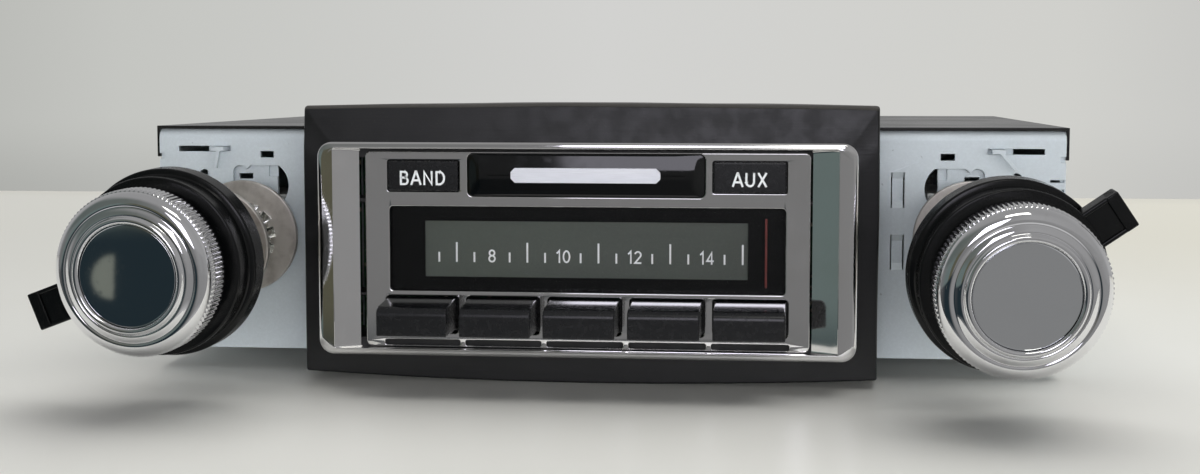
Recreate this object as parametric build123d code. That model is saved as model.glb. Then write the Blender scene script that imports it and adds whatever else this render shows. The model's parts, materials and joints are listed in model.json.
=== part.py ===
from build123d import *
import math
import os

# Car radio with a mirror-finished nose, five presets and two shaft controls.
# Millimetres. +X is to the viewer's right, +Y runs to the back, +Z is up.
# The origin is the centre of the chassis's bottom face.

# ---- driving dimensions -------------------------------------------------

# Chassis
CHASSIS_W = 178.0
CHASSIS_D = 130.0
WALL_H = 44.0
SHEET = 1.0
COVER_SHEET = 0.6
COVER_FLANGE = 5.6
FLANGE_D = 8.0
FOLD_R = 2.0

# Nose, measured forward of the chassis face
NOSE_X0 = -51.5
NOSE_X1 = 49.4
NOSE_Z0 = 1.9
NOSE_Z1 = 42.1
NOSE_CORNER_R = 2.8
RIM_OUT = 19.0
DIAL_OUT = 17.2
DIAL_SHEET = 1.0
SKIRT_OUT = 12.2
GASKET_OUT = 12.0

# Pocket of the nose: its sides slope in from the rim to the dial plate
POCKET_RIM_X0 = -48.4
POCKET_RIM_X1 = 45.9
POCKET_X0 = -43.7
POCKET_X1 = 41.2
POCKET_Z0 = 3.2
POCKET_Z1 = 40.9

# Dial plate windows
LCD_X0 = -38.0
LCD_X1 = 36.3
LCD_Z0 = 14.0
LCD_Z1 = 30.0
FUNCTION_Z0 = 32.8
FUNCTION_Z1 = 38.7
BAND_X0 = -38.3
AUX_X0 = 22.85
FUNCTION_W = 13.65
EMBLEM_X0 = -23.1
EMBLEM_X1 = 21.5
EMBLEM_Z0 = 31.9
EMBLEM_Z1 = 40.0

# Preset buttons
PRESETS = 5
PRESET_X0 = -31.85
PRESET_PITCH = 15.44
PRESET_W = 13.1
PRESET_Z0 = 6.7
PRESET_FRONT_H = 5.8
PRESET_BACK_H = 6.1
PRESET_OUT = 27.3
PRESET_TRAVEL = 1.5
FUNCTION_TRAVEL = 0.8
BUTTON_GAP = 0.35

# Switch board inside the nose
BOARD_OUT = 5.6
BOARD_T = 1.6
SWITCH_BODY = 1.6
PLUNGER = 0.8

# Gasket round the nose
GASKET_X0 = -56.1
GASKET_X1 = 53.5
GASKET_TOP = 48.9
GASKET_TOP_BOW = 0.6
GASKET_BOTTOM = -2.5
GASKET_BOTTOM_BOW = 1.5

# Controls: a 3/8 inch bushing holds two shafts, one inside the other
BUSHING_R = 4.76
BUSHING_LENGTH = 19.0
OUTER_SHAFT_R = 3.0
INNER_SHAFT_R = 2.0
RUNNING_FIT = 0.08
WASHER_R = 11.1
WASHER_T = 1.2
RING_R = 17.0
KNOB_R = 14.7
CONTROL_X = 71.4
CONTROL_BASE_OUT = 3.0
SLIDE_TRAVEL = 6.0
SLIDE_GAP = 0.3

# Rear
STUD_R = 2.5
STUD_LENGTH = 12.5
STUD_NECK_R = 3.0
ANTENNA_BORE_R = 4.3
ANTENNA_BORE_DEPTH = 10.5
SIDE_HOLE_R = 2.65

# ---- worked-out values ---------------------------------------------------

HALF_W = CHASSIS_W / 2
FRONT = -CHASSIS_D / 2
BACK = CHASSIS_D / 2
PLATE_BACK = FRONT + SHEET
INNER_BACK = BACK - SHEET
RIM_Y = FRONT - RIM_OUT
DIAL_Y = FRONT - DIAL_OUT
DIAL_BACK_Y = DIAL_Y + DIAL_SHEET
SKIRT_Y = FRONT - SKIRT_OUT
GASKET_Y = FRONT - GASKET_OUT
BOARD_Y = FRONT - BOARD_OUT
PLUNGER_Y = BOARD_Y - SWITCH_BODY - PLUNGER
PRESET_Y = FRONT - PRESET_OUT
SLIDE_Y0 = PLATE_BACK + SLIDE_GAP
SLIDE_Y1 = SLIDE_Y0 + SHEET


# ---- helpers -------------------------------------------------------------

def block(x0, x1, y0, y1, z0, z1):
    """A box between two corners."""
    centre = Pos((x0 + x1) / 2, (y0 + y1) / 2, (z0 + z1) / 2)
    return centre * Box(x1 - x0, y1 - y0, z1 - z0)


def rod_y(x, z, r, y0, y1):
    """A round rod along Y."""
    centre = Location((x, (y0 + y1) / 2, z), (90, 0, 0))
    return centre * Cylinder(r, y1 - y0)


def rod_z(x, y, r, z0, z1):
    """A round rod along Z."""
    return Pos(x, y, (z0 + z1) / 2) * Cylinder(r, z1 - z0)


def rod_x(y, z, r, x0, x1):
    """A round rod along X."""
    centre = Location(((x0 + x1) / 2, y, z), (0, 90, 0))
    return centre * Cylinder(r, x1 - x0)


def prism_yz(points, x0, x1):
    """A side profile of (y, z) points, drawn out along X."""
    face = Plane.YZ.offset(x0) * make_face(Polyline(*points, close=True))
    return extrude(face, amount=x1 - x0)


def prism_xy(points, z0, z1):
    """A plan profile of (x, y) points, drawn out along Z."""
    face = Plane.XY.offset(z0) * make_face(Polyline(*points, close=True))
    return extrude(face, amount=z1 - z0)


def prism_xz(points, y0, y1):
    """A front profile of (x, z) points, drawn out along Y."""
    face = Plane.XZ.offset(-y0) * make_face(Polyline(*points, close=True))
    return extrude(face, amount=y1 - y0, dir=(0, 1, 0))


def rounded_block(x0, x1, y0, y1, z0, z1, r):
    """A box whose four edges along Y are rounded."""
    body = block(x0, x1, y0, y1, z0, z1)
    return fillet(body.edges().filter_by(Axis.Y), r)


def lathe(points):
    """A profile of (radius, height) points turned about the local Z axis."""
    face = Plane.XZ * make_face(Polyline(*points, close=True))
    return revolve(face, axis=Axis.Z)


def tube(r_out, r_in, z0, z1):
    """A plain tube along the local Z axis."""
    return rod_z(0, 0, r_out, z0, z1) - rod_z(0, 0, r_in, z0 - 1, z1 + 1)


def save(shape, name):
    export_step(shape, "parts/" + name + ".step")


def group(pieces):
    return Compound(children=list(pieces))


# ---- casing ---------------------------------------------------------------

# Openings in the front plate, given for the right-hand side and mirrored
TAB_SLOT = (74.3, 85.0, 39.5, 40.6)
SMALL_WINDOW = (65.5, 68.2, 38.3, 39.6)
PEG_HOLE = (79.8, 34.9, 1.05)
EDGE_NOTCH = (88.0, 89.1, 38.0, 39.1)
BUSHING_SLOT_HALF = BUSHING_R + 0.7
KEY_SLOT_X = 71.2
KEY_NECK_X = (66.0, 73.9)
KEY_NECK_TOP = 34.8
KEY_NOTCH_Z = 35.5
KEY_LOBE = (72.5, 35.35, 1.4)
KEY_ENTRY = (67.4, 32.8)
KEY_FLAT_TOP = 36.7
BRIDGE_X = (56.2, 58.8)
BRIDGE_SPANS = ((17.3, 24.0), (29.2, 36.0))
BRIDGE_SUNK = 0.7
BRIDGE_ROOT = 0.5
BRIDGE_RAMP = 1.2
BRIDGE_SIDE = 0.25
LATCH_X = (86.1, 88.7)
LATCH_SLITS = ((32.4, 32.9), (34.2, 34.7))
RIBBON_W = 30.0
RIBBON_T = 0.6
RIBBON_Z = 12.0


def key_opening(side, plate_cut):
    """The opening that lets the bushing slide, with a notched top."""
    z_mid = side["base_z"]
    reach = KEY_SLOT_X + SLIDE_TRAVEL
    slot_z = (z_mid - BUSHING_SLOT_HALF, z_mid + BUSHING_SLOT_HALF)
    neck_x0, neck_x1 = KEY_NECK_X
    lobe_x, lobe_z, lobe_r = KEY_LOBE
    shape = rod_y(*KEY_ENTRY, BUSHING_R + 0.1, *plate_cut)
    shape -= block(0, HALF_W, FRONT - 5, PLATE_BACK + 5, KEY_FLAT_TOP, WALL_H)
    shape += rod_y(lobe_x, lobe_z, lobe_r, *plate_cut)
    shape += block(neck_x0, neck_x1, *plate_cut, z_mid, KEY_NECK_TOP)
    shape += block(neck_x0, lobe_x - 0.4, *plate_cut, KEY_ENTRY[1], KEY_NOTCH_Z)
    shape += block(KEY_SLOT_X, reach, *plate_cut, *slot_z)
    for end_x in (KEY_SLOT_X, reach):
        shape += rod_y(end_x, z_mid, BUSHING_SLOT_HALF, *plate_cut)
    if side["sign"] < 0:
        shape = mirror(shape, about=Plane.YZ)
    return shape


def mirrored_span(sign, x0, x1):
    """The x range on the side that sign names."""
    if sign > 0:
        return (x0, x1)
    return (-x1, -x0)


def front_plate(sides):
    top_in = WALL_H - SHEET
    outline = (
        (FRONT, 0.0),
        (FRONT, WALL_H),
        (FRONT + FLANGE_D, WALL_H),
        (FRONT + FLANGE_D, top_in),
        (PLATE_BACK, top_in),
        (PLATE_BACK, 0.0),
    )
    face = Plane.YZ.offset(-HALF_W) * make_face(Polyline(*outline, close=True))
    outer = face.vertices().sort_by_distance((-HALF_W, FRONT, WALL_H))[0]
    face = fillet(outer, FOLD_R)
    inner = face.vertices().sort_by_distance((-HALF_W, PLATE_BACK, top_in))[0]
    face = fillet(inner, FOLD_R - SHEET)
    plate = extrude(face, amount=CHASSIS_W)
    cut = (FRONT - 1, PLATE_BACK + 1)
    for side in sides:
        sign = side["sign"]
        for x0, x1, z0, z1 in (TAB_SLOT, SMALL_WINDOW, EDGE_NOTCH):
            plate -= block(*mirrored_span(sign, x0, x1), *cut, z0, z1)
        hole_x, hole_z, hole_r = PEG_HOLE
        plate -= rod_y(sign * hole_x, hole_z, hole_r, *cut)
        plate -= key_opening(side, cut)
    for z0, z1 in BRIDGE_SPANS:
        plate -= block(*BRIDGE_X, *cut, z0, z1)
        strap = (
            (FRONT, z0 - BRIDGE_ROOT),
            (FRONT, z0),
            (FRONT + BRIDGE_SUNK, z0 + BRIDGE_RAMP),
            (FRONT + BRIDGE_SUNK, z1 - BRIDGE_RAMP),
            (FRONT, z1),
            (FRONT, z1 + BRIDGE_ROOT),
            (PLATE_BACK, z1 + BRIDGE_ROOT),
            (PLATE_BACK, z1),
            (PLATE_BACK + BRIDGE_SUNK, z1 - BRIDGE_RAMP),
            (PLATE_BACK + BRIDGE_SUNK, z0 + BRIDGE_RAMP),
            (PLATE_BACK, z0),
            (PLATE_BACK, z0 - BRIDGE_ROOT),
        )
        plate += prism_yz(strap, BRIDGE_X[0] + BRIDGE_SIDE, BRIDGE_X[1] - BRIDGE_SIDE)
    for z0, z1 in LATCH_SLITS:
        plate -= block(*LATCH_X, *cut, z0, z1)
    half = RIBBON_W / 2 + 0.8
    plate -= block(-half, half, *cut, RIBBON_Z - 1.0, RIBBON_Z + RIBBON_T + 1.0)
    return plate


# Rear wall layout
HEAT_SINK = (-86.0, -12.0, 5.0, 40.0)
HEAT_SINK_BASE = 3.0
FIN_DEPTH = 9.0
FIN_T = 1.6
FIN_COUNT = 11
FIN_X0 = -77.5
FIN_PITCH = 5.7
SINK_SCREW_X = (-82.0, -16.0)
SINK_SCREW_Z = (13.5, 35.5)
SCREW_R = 1.5
SCREW_HEAD_R = 2.8
SCREW_HEAD_T = 1.6
SCREW_HOLE_R = 1.65
STUD_X = 0.0
STUD_Z = 22.0
STUD_HEAD_FLAT_R = 4.0
STUD_HEAD_T = 3.5
SOCKET = (12.0, 46.0, 9.6, 39.6)
SOCKET_Y0 = 50.0
SOCKET_OUT = 2.0
ANTENNA_X = 66.0
ANTENNA_Z = 22.0
ANTENNA_R = 6.0
ANTENNA_OUT = 2.5
ANTENNA_FOOT_W = 14.0
SIDE_HOLE_Y = (-25.0, 35.0)
SIDE_HOLE_Z = 22.0
COVER_SCREW_Y = (-42.0, 48.0)
COVER_SCREW_Z = 41.3


def bottom_tray():
    tray = block(-HALF_W, HALF_W, PLATE_BACK, BACK, 0, WALL_H)
    tray -= block(-HALF_W + SHEET, HALF_W - SHEET, PLATE_BACK - 1, INNER_BACK, SHEET, WALL_H + 1)
    tray -= block(-HALF_W - 1, HALF_W + 1, PLATE_BACK - 1, FRONT + FLANGE_D, WALL_H - SHEET, WALL_H + 1)
    tray -= block(-HALF_W - 1, HALF_W + 1, PLATE_BACK - 1, FRONT + FOLD_R, WALL_H - FOLD_R, WALL_H)
    wall = (INNER_BACK - 1, BACK + 1)
    for x in SINK_SCREW_X:
        for z in SINK_SCREW_Z:
            tray -= rod_y(x, z, SCREW_HOLE_R, *wall)
    tray -= rod_y(STUD_X, STUD_Z, STUD_NECK_R + 0.1, *wall)
    x0, x1, z0, z1 = SOCKET
    tray -= block(x0 - 0.3, x1 + 0.3, *wall, z0 - 0.3, z1 + 0.3)
    tray -= rod_y(ANTENNA_X, ANTENNA_Z, ANTENNA_R + 0.2, *wall)
    for y in SIDE_HOLE_Y:
        tray -= rod_x(y, SIDE_HOLE_Z, SIDE_HOLE_R, -HALF_W - 1, HALF_W + 1)
    for y in COVER_SCREW_Y:
        tray -= rod_x(y, COVER_SCREW_Z, SCREW_HOLE_R, -HALF_W - 1, HALF_W + 1)
    return tray


VENT_ROWS = (18.0, 38.0)
VENT_COUNT = 12
VENT_PITCH = 8.0
VENT_LENGTH = 14.0
VENT_W = 2.4


def top_cover():
    outer_x = HALF_W + COVER_SHEET
    top = WALL_H + COVER_SHEET
    lid = block(-outer_x, outer_x, FRONT + 0.4, BACK, WALL_H - COVER_FLANGE, top)
    lid -= block(-HALF_W, HALF_W, FRONT - 1, BACK + 1, WALL_H - COVER_FLANGE - 1, WALL_H)
    for row_y in VENT_ROWS:
        for column in range(VENT_COUNT):
            x = (column - (VENT_COUNT - 1) / 2) * VENT_PITCH
            slot = block(x - VENT_W / 2, x + VENT_W / 2, row_y, row_y + VENT_LENGTH, WALL_H - 1, top + 1)
            lid -= slot
    for y in COVER_SCREW_Y:
        lid -= rod_x(y, COVER_SCREW_Z, SCREW_HOLE_R, -outer_x - 1, outer_x + 1)
    return lid


def cover_screws():
    seat = HALF_W + COVER_SHEET
    screws = []
    for sign in (-1, 1):
        for y in COVER_SCREW_Y:
            tip, under, head = sign * (seat - 5.0), sign * seat, sign * (seat + SCREW_HEAD_T)
            shank = rod_x(y, COVER_SCREW_Z, SCREW_R, min(tip, under), max(tip, under))
            cap = rod_x(y, COVER_SCREW_Z, SCREW_HEAD_R, min(under, head), max(under, head))
            screws.append(shank + cap)
    return group(screws)


def heat_sink():
    x0, x1, z0, z1 = HEAT_SINK
    sink = block(x0, x1, BACK, BACK + HEAT_SINK_BASE, z0, z1)
    fin_root = BACK + HEAT_SINK_BASE
    for index in range(FIN_COUNT):
        x = FIN_X0 + index * FIN_PITCH
        sink += block(x - FIN_T / 2, x + FIN_T / 2, fin_root - 0.5, fin_root + FIN_DEPTH, z0, z1)
    for x in SINK_SCREW_X:
        for z in SINK_SCREW_Z:
            sink -= rod_y(x, z, SCREW_HOLE_R, BACK - 1, fin_root + 1)
    return sink


def heat_sink_screws():
    seat = BACK + HEAT_SINK_BASE
    screws = []
    for x in SINK_SCREW_X:
        for z in SINK_SCREW_Z:
            shank = rod_y(x, z, SCREW_R, INNER_BACK - 3.0, seat)
            cap = rod_y(x, z, SCREW_HEAD_R, seat, seat + SCREW_HEAD_T)
            screws.append(shank + cap)
    return group(screws)


# ---- nose -----------------------------------------------------------------

HOUSING_X0 = NOSE_X0 + 1.6
HOUSING_X1 = NOSE_X1 - 1.6
HOUSING_Z0 = NOSE_Z0 + 1.4
HOUSING_Z1 = NOSE_Z1 - 1.4
HOUSING_WALL = 1.6
LOWER_SHELF = (12.9, 13.45)
UPPER_SHELF = (30.6, 31.4)
SLIP = 0.2


def preset_centres():
    return [PRESET_X0 + index * PRESET_PITCH for index in range(PRESETS)]


def function_centres():
    return [BAND_X0 + FUNCTION_W / 2, AUX_X0 + FUNCTION_W / 2]


def nosepiece():
    shell = block(HOUSING_X0, HOUSING_X1, DIAL_BACK_Y, FRONT, HOUSING_Z0, HOUSING_Z1)
    inner_x0 = HOUSING_X0 + HOUSING_WALL
    inner_x1 = HOUSING_X1 - HOUSING_WALL
    shell -= block(inner_x0, inner_x1, DIAL_BACK_Y - 1, FRONT + 1,
                   HOUSING_Z0 + HOUSING_WALL, HOUSING_Z1 - HOUSING_WALL)
    for z0, z1 in (LOWER_SHELF, UPPER_SHELF):
        shell += block(inner_x0 - 0.1, inner_x1 + 0.1, DIAL_BACK_Y, BOARD_Y - SWITCH_BODY, z0, z1)
    return shell


def gasket():
    middle = (GASKET_X0 + GASKET_X1) / 2
    top_left = (GASKET_X0, GASKET_TOP)
    top_right = (GASKET_X1, GASKET_TOP)
    bottom_right = (GASKET_X1, GASKET_BOTTOM)
    bottom_left = (GASKET_X0, GASKET_BOTTOM)
    outline = Curve() + [
        ThreePointArc(top_left, (middle, GASKET_TOP + GASKET_TOP_BOW), top_right),
        Line(top_right, bottom_right),
        ThreePointArc(bottom_right, (middle, GASKET_BOTTOM - GASKET_BOTTOM_BOW), bottom_left),
        Line(bottom_left, top_left),
    ]
    face = Plane.XZ * make_face(outline)
    sleeve = Pos(0, FRONT, 0) * extrude(face, amount=GASKET_OUT)
    sleeve -= block(HOUSING_X0 - SLIP, HOUSING_X1 + SLIP, GASKET_Y - 1, FRONT + 1,
                    HOUSING_Z0 - SLIP, HOUSING_Z1 + SLIP)
    return sleeve


def bezel():
    shell = rounded_block(NOSE_X0, NOSE_X1, RIM_Y, SKIRT_Y, NOSE_Z0, NOSE_Z1, NOSE_CORNER_R)
    pocket = (
        (POCKET_RIM_X0, RIM_Y - 0.01),
        (POCKET_RIM_X1, RIM_Y - 0.01),
        (POCKET_X1, DIAL_Y),
        (POCKET_X0, DIAL_Y),
    )
    shell -= prism_xy(pocket, POCKET_Z0, POCKET_Z1)
    shell -= block(HOUSING_X0 - SLIP, HOUSING_X1 + SLIP, DIAL_BACK_Y, SKIRT_Y + 1,
                   HOUSING_Z0 - SLIP, HOUSING_Z1 + SLIP)
    cut = (DIAL_Y - 1, DIAL_BACK_Y + 1)
    shell -= block(LCD_X0, LCD_X1, *cut, LCD_Z0, LCD_Z1)
    shell -= block(EMBLEM_X0, EMBLEM_X1, *cut, EMBLEM_Z0, EMBLEM_Z1)
    for x in function_centres():
        shell -= block(x - FUNCTION_W / 2, x + FUNCTION_W / 2, *cut, FUNCTION_Z0, FUNCTION_Z1)
    half = PRESET_W / 2 + BUTTON_GAP
    for x in preset_centres():
        shell -= block(x - half, x + half, *cut, PRESET_Z0 - 0.7, PRESET_Z0 + PRESET_BACK_H + 0.5)
    return shell


POINTER_X = 32.7
POINTER_W = 0.4
POINTER_Z = (15.1, 28.0)
PANEL_X0 = LCD_X0 - 0.8
PANEL_X1 = LCD_X1 + 0.8
PANEL_Z0 = LCD_Z0 - 0.4
PANEL_Z1 = LCD_Z1 + 0.4
LENS_T = 0.8
POINTER_T = 0.2
MODULE_T = 2.4
BACKLIGHT_T = 1.8


def dial_stack():
    """Lens, pointer, display and backlight, one behind the other."""
    lens_back = DIAL_BACK_Y + LENS_T
    module_front = lens_back + POINTER_T
    module_back = module_front + MODULE_T
    lens = block(PANEL_X0, PANEL_X1, DIAL_BACK_Y, lens_back, PANEL_Z0, PANEL_Z1)
    pointer = block(POINTER_X - POINTER_W / 2, POINTER_X + POINTER_W / 2,
                    lens_back, module_front, *POINTER_Z)
    module = block(PANEL_X0, PANEL_X1, module_front, module_back, PANEL_Z0, PANEL_Z1)
    backlight = block(PANEL_X0 + 2, PANEL_X1 - 2, module_back, module_back + BACKLIGHT_T,
                      PANEL_Z0 + 1, PANEL_Z1 - 1)
    return lens, pointer, module, backlight


EMBLEM_RECESS = 0.1
EMBLEM_BAR_W = 28.0
EMBLEM_BAR_H = 2.8
EMBLEM_BAR_T = 0.3


def emblem():
    """A gloss window strip and the plain bar that lies on it."""
    clearance = 0.1
    front = DIAL_Y + EMBLEM_RECESS
    window = block(EMBLEM_X0 + clearance, EMBLEM_X1 - clearance, front, DIAL_BACK_Y,
                   EMBLEM_Z0 + clearance, EMBLEM_Z1 - clearance)
    window = fillet(window.edges().filter_by(Axis.Y), 1.0)
    x = (EMBLEM_X0 + EMBLEM_X1) / 2
    z = (EMBLEM_Z0 + EMBLEM_Z1) / 2
    bar = block(x - EMBLEM_BAR_W / 2, x + EMBLEM_BAR_W / 2, front - EMBLEM_BAR_T, front,
                z - EMBLEM_BAR_H / 2, z + EMBLEM_BAR_H / 2)
    return window, chamfer(bar.edges().filter_by(Axis.Y), 0.8)


def switch_board():
    return block(HOUSING_X0 + 4, HOUSING_X1 - 4, BOARD_Y, BOARD_Y + BOARD_T,
                 HOUSING_Z0 + 2, HOUSING_Z1 - 2)


SWITCH_W = 5.0
SWITCH_H = 4.4
PRESET_SWITCH_Z = 8.5


def tact_switches():
    function_z = (FUNCTION_Z0 + FUNCTION_Z1) / 2
    places = [(x, PRESET_SWITCH_Z) for x in preset_centres()]
    places += [(x, function_z) for x in function_centres()]
    switches = []
    for x, z in places:
        case = block(x - SWITCH_W / 2, x + SWITCH_W / 2, BOARD_Y - SWITCH_BODY, BOARD_Y,
                     z - SWITCH_H / 2, z + SWITCH_H / 2)
        plunger = rod_y(x, z, 1.2, PLUNGER_Y, BOARD_Y - SWITCH_BODY)
        switches.append(case + plunger)
    return group(switches)


STOP_GAP = 0.15
LIP = 0.6
LIP_Y0 = DIAL_BACK_Y + 0.1
LIP_Y1 = DIAL_BACK_Y + 0.9


def preset_button(x):
    z_front = PRESET_Z0 + PRESET_FRONT_H
    z_back = PRESET_Z0 + PRESET_BACK_H
    profile = (
        (PRESET_Y, PRESET_Z0),
        (PRESET_Y, z_front - 0.6),
        (PRESET_Y + 0.6, z_front),
        (DIAL_Y - 0.4, z_back),
        (LIP_Y0, z_back),
        (LIP_Y0, PRESET_Z0),
    )
    half = PRESET_W / 2
    button = prism_yz(profile, x - half, x + half)
    button += block(x - half - LIP, x + half + LIP, LIP_Y0, LIP_Y1, PRESET_Z0 - 0.3, z_back - 0.1)
    stem_end = PLUNGER_Y - PRESET_TRAVEL - STOP_GAP
    button += block(x - 3, x + 3, LIP_Y1, stem_end, PRESET_SWITCH_Z - 1.5, PRESET_SWITCH_Z + 1.5)
    return button


def function_button(x):
    half = FUNCTION_W / 2 - 0.15
    z0 = FUNCTION_Z0 + 0.15
    z1 = FUNCTION_Z1 - 0.15
    z = (z0 + z1) / 2
    button = block(x - half, x + half, DIAL_Y - 0.6, LIP_Y0, z0, z1)
    button += block(x - half - 0.5, x + half + 0.5, LIP_Y0, LIP_Y1, z0 - 0.4, z1 + 0.4)
    stem_end = PLUNGER_Y - FUNCTION_TRAVEL - STOP_GAP
    button += block(x - 3, x + 3, LIP_Y1, stem_end, z - 1.5, z + 1.5)
    return button


# ---- inside the chassis -----------------------------------------------------

BOARD_X = 78.0
BOARD_Y0 = -44.0
BOARD_Y1 = 62.0
BOARD_Z0 = 8.0
BOARD_Z1 = 9.6
FIXING_X = 70.0
FIXING_Y = (-37.0, 40.0)


def fixing_places():
    return [(sign * FIXING_X, y) for sign in (-1, 1) for y in FIXING_Y]


def main_board():
    board = block(-BOARD_X, BOARD_X, BOARD_Y0, BOARD_Y1, BOARD_Z0, BOARD_Z1)
    for x, y in fixing_places():
        board -= rod_z(x, y, SCREW_HOLE_R, BOARD_Z0 - 1, BOARD_Z1 + 1)
    return board


def board_standoffs():
    posts = []
    for x, y in fixing_places():
        post = rod_z(x, y, 3.2, SHEET, BOARD_Z0)
        posts.append(post - rod_z(x, y, SCREW_HOLE_R, BOARD_Z0 - 5.5, BOARD_Z0 + 1))
    return group(posts)


def board_screws():
    screws = []
    for x, y in fixing_places():
        shank = rod_z(x, y, SCREW_R, BOARD_Z0 - 4.5, BOARD_Z1)
        screws.append(shank + rod_z(x, y, SCREW_HEAD_R, BOARD_Z1, BOARD_Z1 + SCREW_HEAD_T))
    return group(screws)


TUNER = (20.0, 64.0, -22.0, 20.0)
TUNER_H = 14.5
TUNER_LID_STEP = 0.5
TUNER_LID_EDGE = 6.0


def tuner_module():
    x0, x1, y0, y1 = TUNER
    top = BOARD_Z1 + TUNER_H
    can = block(x0, x1, y0, y1, BOARD_Z1, top)
    can = fillet(can.edges().filter_by(Axis.Z), 1.5)
    edge = TUNER_LID_EDGE
    return can - block(x0 + edge, x1 - edge, y0 + edge, y1 - edge, top - TUNER_LID_STEP, top + 1)


CHIP_X = (-62.0, -34.0)
CHIP_Z = (13.5, 31.0)
CHIP_T = 4.4
CHIP_LEGS = 13
CHIP_LEG_PITCH = 2.0
CHIP_LEG_W = 0.8


def amplifier_chip():
    """The chip stands against the rear wall, on a row of legs."""
    body = block(*CHIP_X, INNER_BACK - CHIP_T, INNER_BACK, *CHIP_Z)
    for index in range(CHIP_LEGS):
        x = CHIP_X[0] + CHIP_LEG_PITCH * (index + 1)
        body += block(x - CHIP_LEG_W / 2, x + CHIP_LEG_W / 2, INNER_BACK - 3.6, INNER_BACK - 3.0,
                      BOARD_Z1, CHIP_Z[0] + 0.5)
    return body


# Capacitors: x, y, radius, height
CAPACITORS = ((-60.0, 22.0, 8.0, 26.0), (-40.0, 22.0, 8.0, 26.0), (-50.0, -4.0, 6.5, 22.0))
CRIMP_Z = (2.0, 3.2)
CRIMP_DEPTH = 0.5


def filter_capacitors():
    cans = []
    for x, y, r, height in CAPACITORS:
        can = rod_z(x, y, r, BOARD_Z1, BOARD_Z1 + height)
        crimp = rod_z(x, y, r + 1, BOARD_Z1 + CRIMP_Z[0], BOARD_Z1 + CRIMP_Z[1])
        crimp -= rod_z(x, y, r - CRIMP_DEPTH, BOARD_Z1, BOARD_Z1 + height)
        cans.append(can - crimp)
    return group(cans)


def ribbon_cable():
    half = RIBBON_W / 2
    top = RIBBON_Z + RIBBON_T
    run_end = BOARD_Y0 + 5.0
    run = block(-half, half, BOARD_Y + BOARD_T, run_end, RIBBON_Z, top)
    return run + block(-half, half, run_end - RIBBON_T, run_end, BOARD_Z1, top)


CAVITY = (14.0, 44.0, 11.6, 26.0)
CAVITY_Y0 = 58.0
FUSE_POCKET = (20.0, 38.0, 30.2, 35.8)
FUSE_Y0 = 60.0
PIN_ROWS = (13.9, 23.7)
PIN_COUNT = 8
PIN_X0 = 17.5
PIN_PITCH = 3.3
PIN_HALF = 0.5
PIN_LENGTH = 6.0


def harness_socket():
    x0, x1, z0, z1 = SOCKET
    mouth = BACK + SOCKET_OUT
    shell = block(x0, x1, SOCKET_Y0, mouth, z0, z1)
    shell -= block(CAVITY[0], CAVITY[1], CAVITY_Y0, mouth + 1, CAVITY[2], CAVITY[3])
    shell -= block(FUSE_POCKET[0], FUSE_POCKET[1], FUSE_Y0, mouth + 1, FUSE_POCKET[2], FUSE_POCKET[3])
    return shell


def blade_fuse():
    x0, x1, z0, z1 = FUSE_POCKET
    body = block(x0 + 0.3, x1 - 0.3, FUSE_Y0 + 1.0, BACK + SOCKET_OUT + 3.0, z0 + 0.3, z1 - 0.3)
    return body


def harness_pins():
    pins = []
    for z in PIN_ROWS:
        for index in range(PIN_COUNT):
            x = PIN_X0 + index * PIN_PITCH
            pins.append(block(x - PIN_HALF, x + PIN_HALF, CAVITY_Y0, CAVITY_Y0 + PIN_LENGTH,
                              z - PIN_HALF, z + PIN_HALF))
    return group(pins)


def antenna_socket():
    mouth = BACK + ANTENNA_OUT
    floor = mouth - ANTENNA_BORE_DEPTH
    barrel = rod_y(ANTENNA_X, ANTENNA_Z, ANTENNA_R, floor - 2.0, mouth)
    half = ANTENNA_FOOT_W / 2
    foot = block(ANTENNA_X - half, ANTENNA_X + half, floor - 6.0, floor - 1.5,
                 BOARD_Z1, ANTENNA_Z + half)
    return barrel + foot - rod_y(ANTENNA_X, ANTENNA_Z, ANTENNA_BORE_R, floor, mouth + 1)


def rear_stud():
    shank = rod_y(STUD_X, STUD_Z, STUD_R, BACK, BACK + STUD_LENGTH)
    neck = rod_y(STUD_X, STUD_Z, STUD_NECK_R, INNER_BACK, BACK)
    hexagon = Plane.XZ * RegularPolygon(radius=STUD_HEAD_FLAT_R, side_count=6, major_radius=False)
    head = Pos(STUD_X, INNER_BACK, STUD_Z) * extrude(hexagon, amount=STUD_HEAD_T)
    return shank + neck + head


# ---- control sides ------------------------------------------------------------

# Each control leans outward and droops a little, as it hangs in its slot.
SIDES = (
    {"name": "left", "sign": -1, "base_z": 22.75, "lean": 4.8, "droop": 3.1,
     "tab_angle": 200.5, "tab_reach": 25.4,
     "hook": ((75.8, 39.9), (76.5, 39.9), (77.0, 36.3), (76.5, 36.2))},
    {"name": "right", "sign": 1, "base_z": 23.45, "lean": 4.8, "droop": 5.7,
     "tab_angle": 35.0, "tab_reach": 22.4,
     "hook": ((76.2, 39.9), (77.1, 39.9), (79.9, 36.6), (79.4, 36.3))},
)
SLIDE_PLATE_X = (65.1, 79.6)
SLIDE_PLATE_Z = (8.0, 38.0)
SLIDE_CORNER = (66.9, 34.5)
SLIDE_CORNER_DEPTH = 0.6
SLIDE_WINDOW = (70.2, 73.0, 34.0, 35.1)
SLIDE_EAR = (74.0, 79.2, 42.2)
TAB_X = (75.0, 77.5)
TAB_OUT = 2.4
TAB_T = 0.9
TAB_CLEARANCE = 0.15
POT_W = 15.6
POT_DEPTH = 13.0


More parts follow.
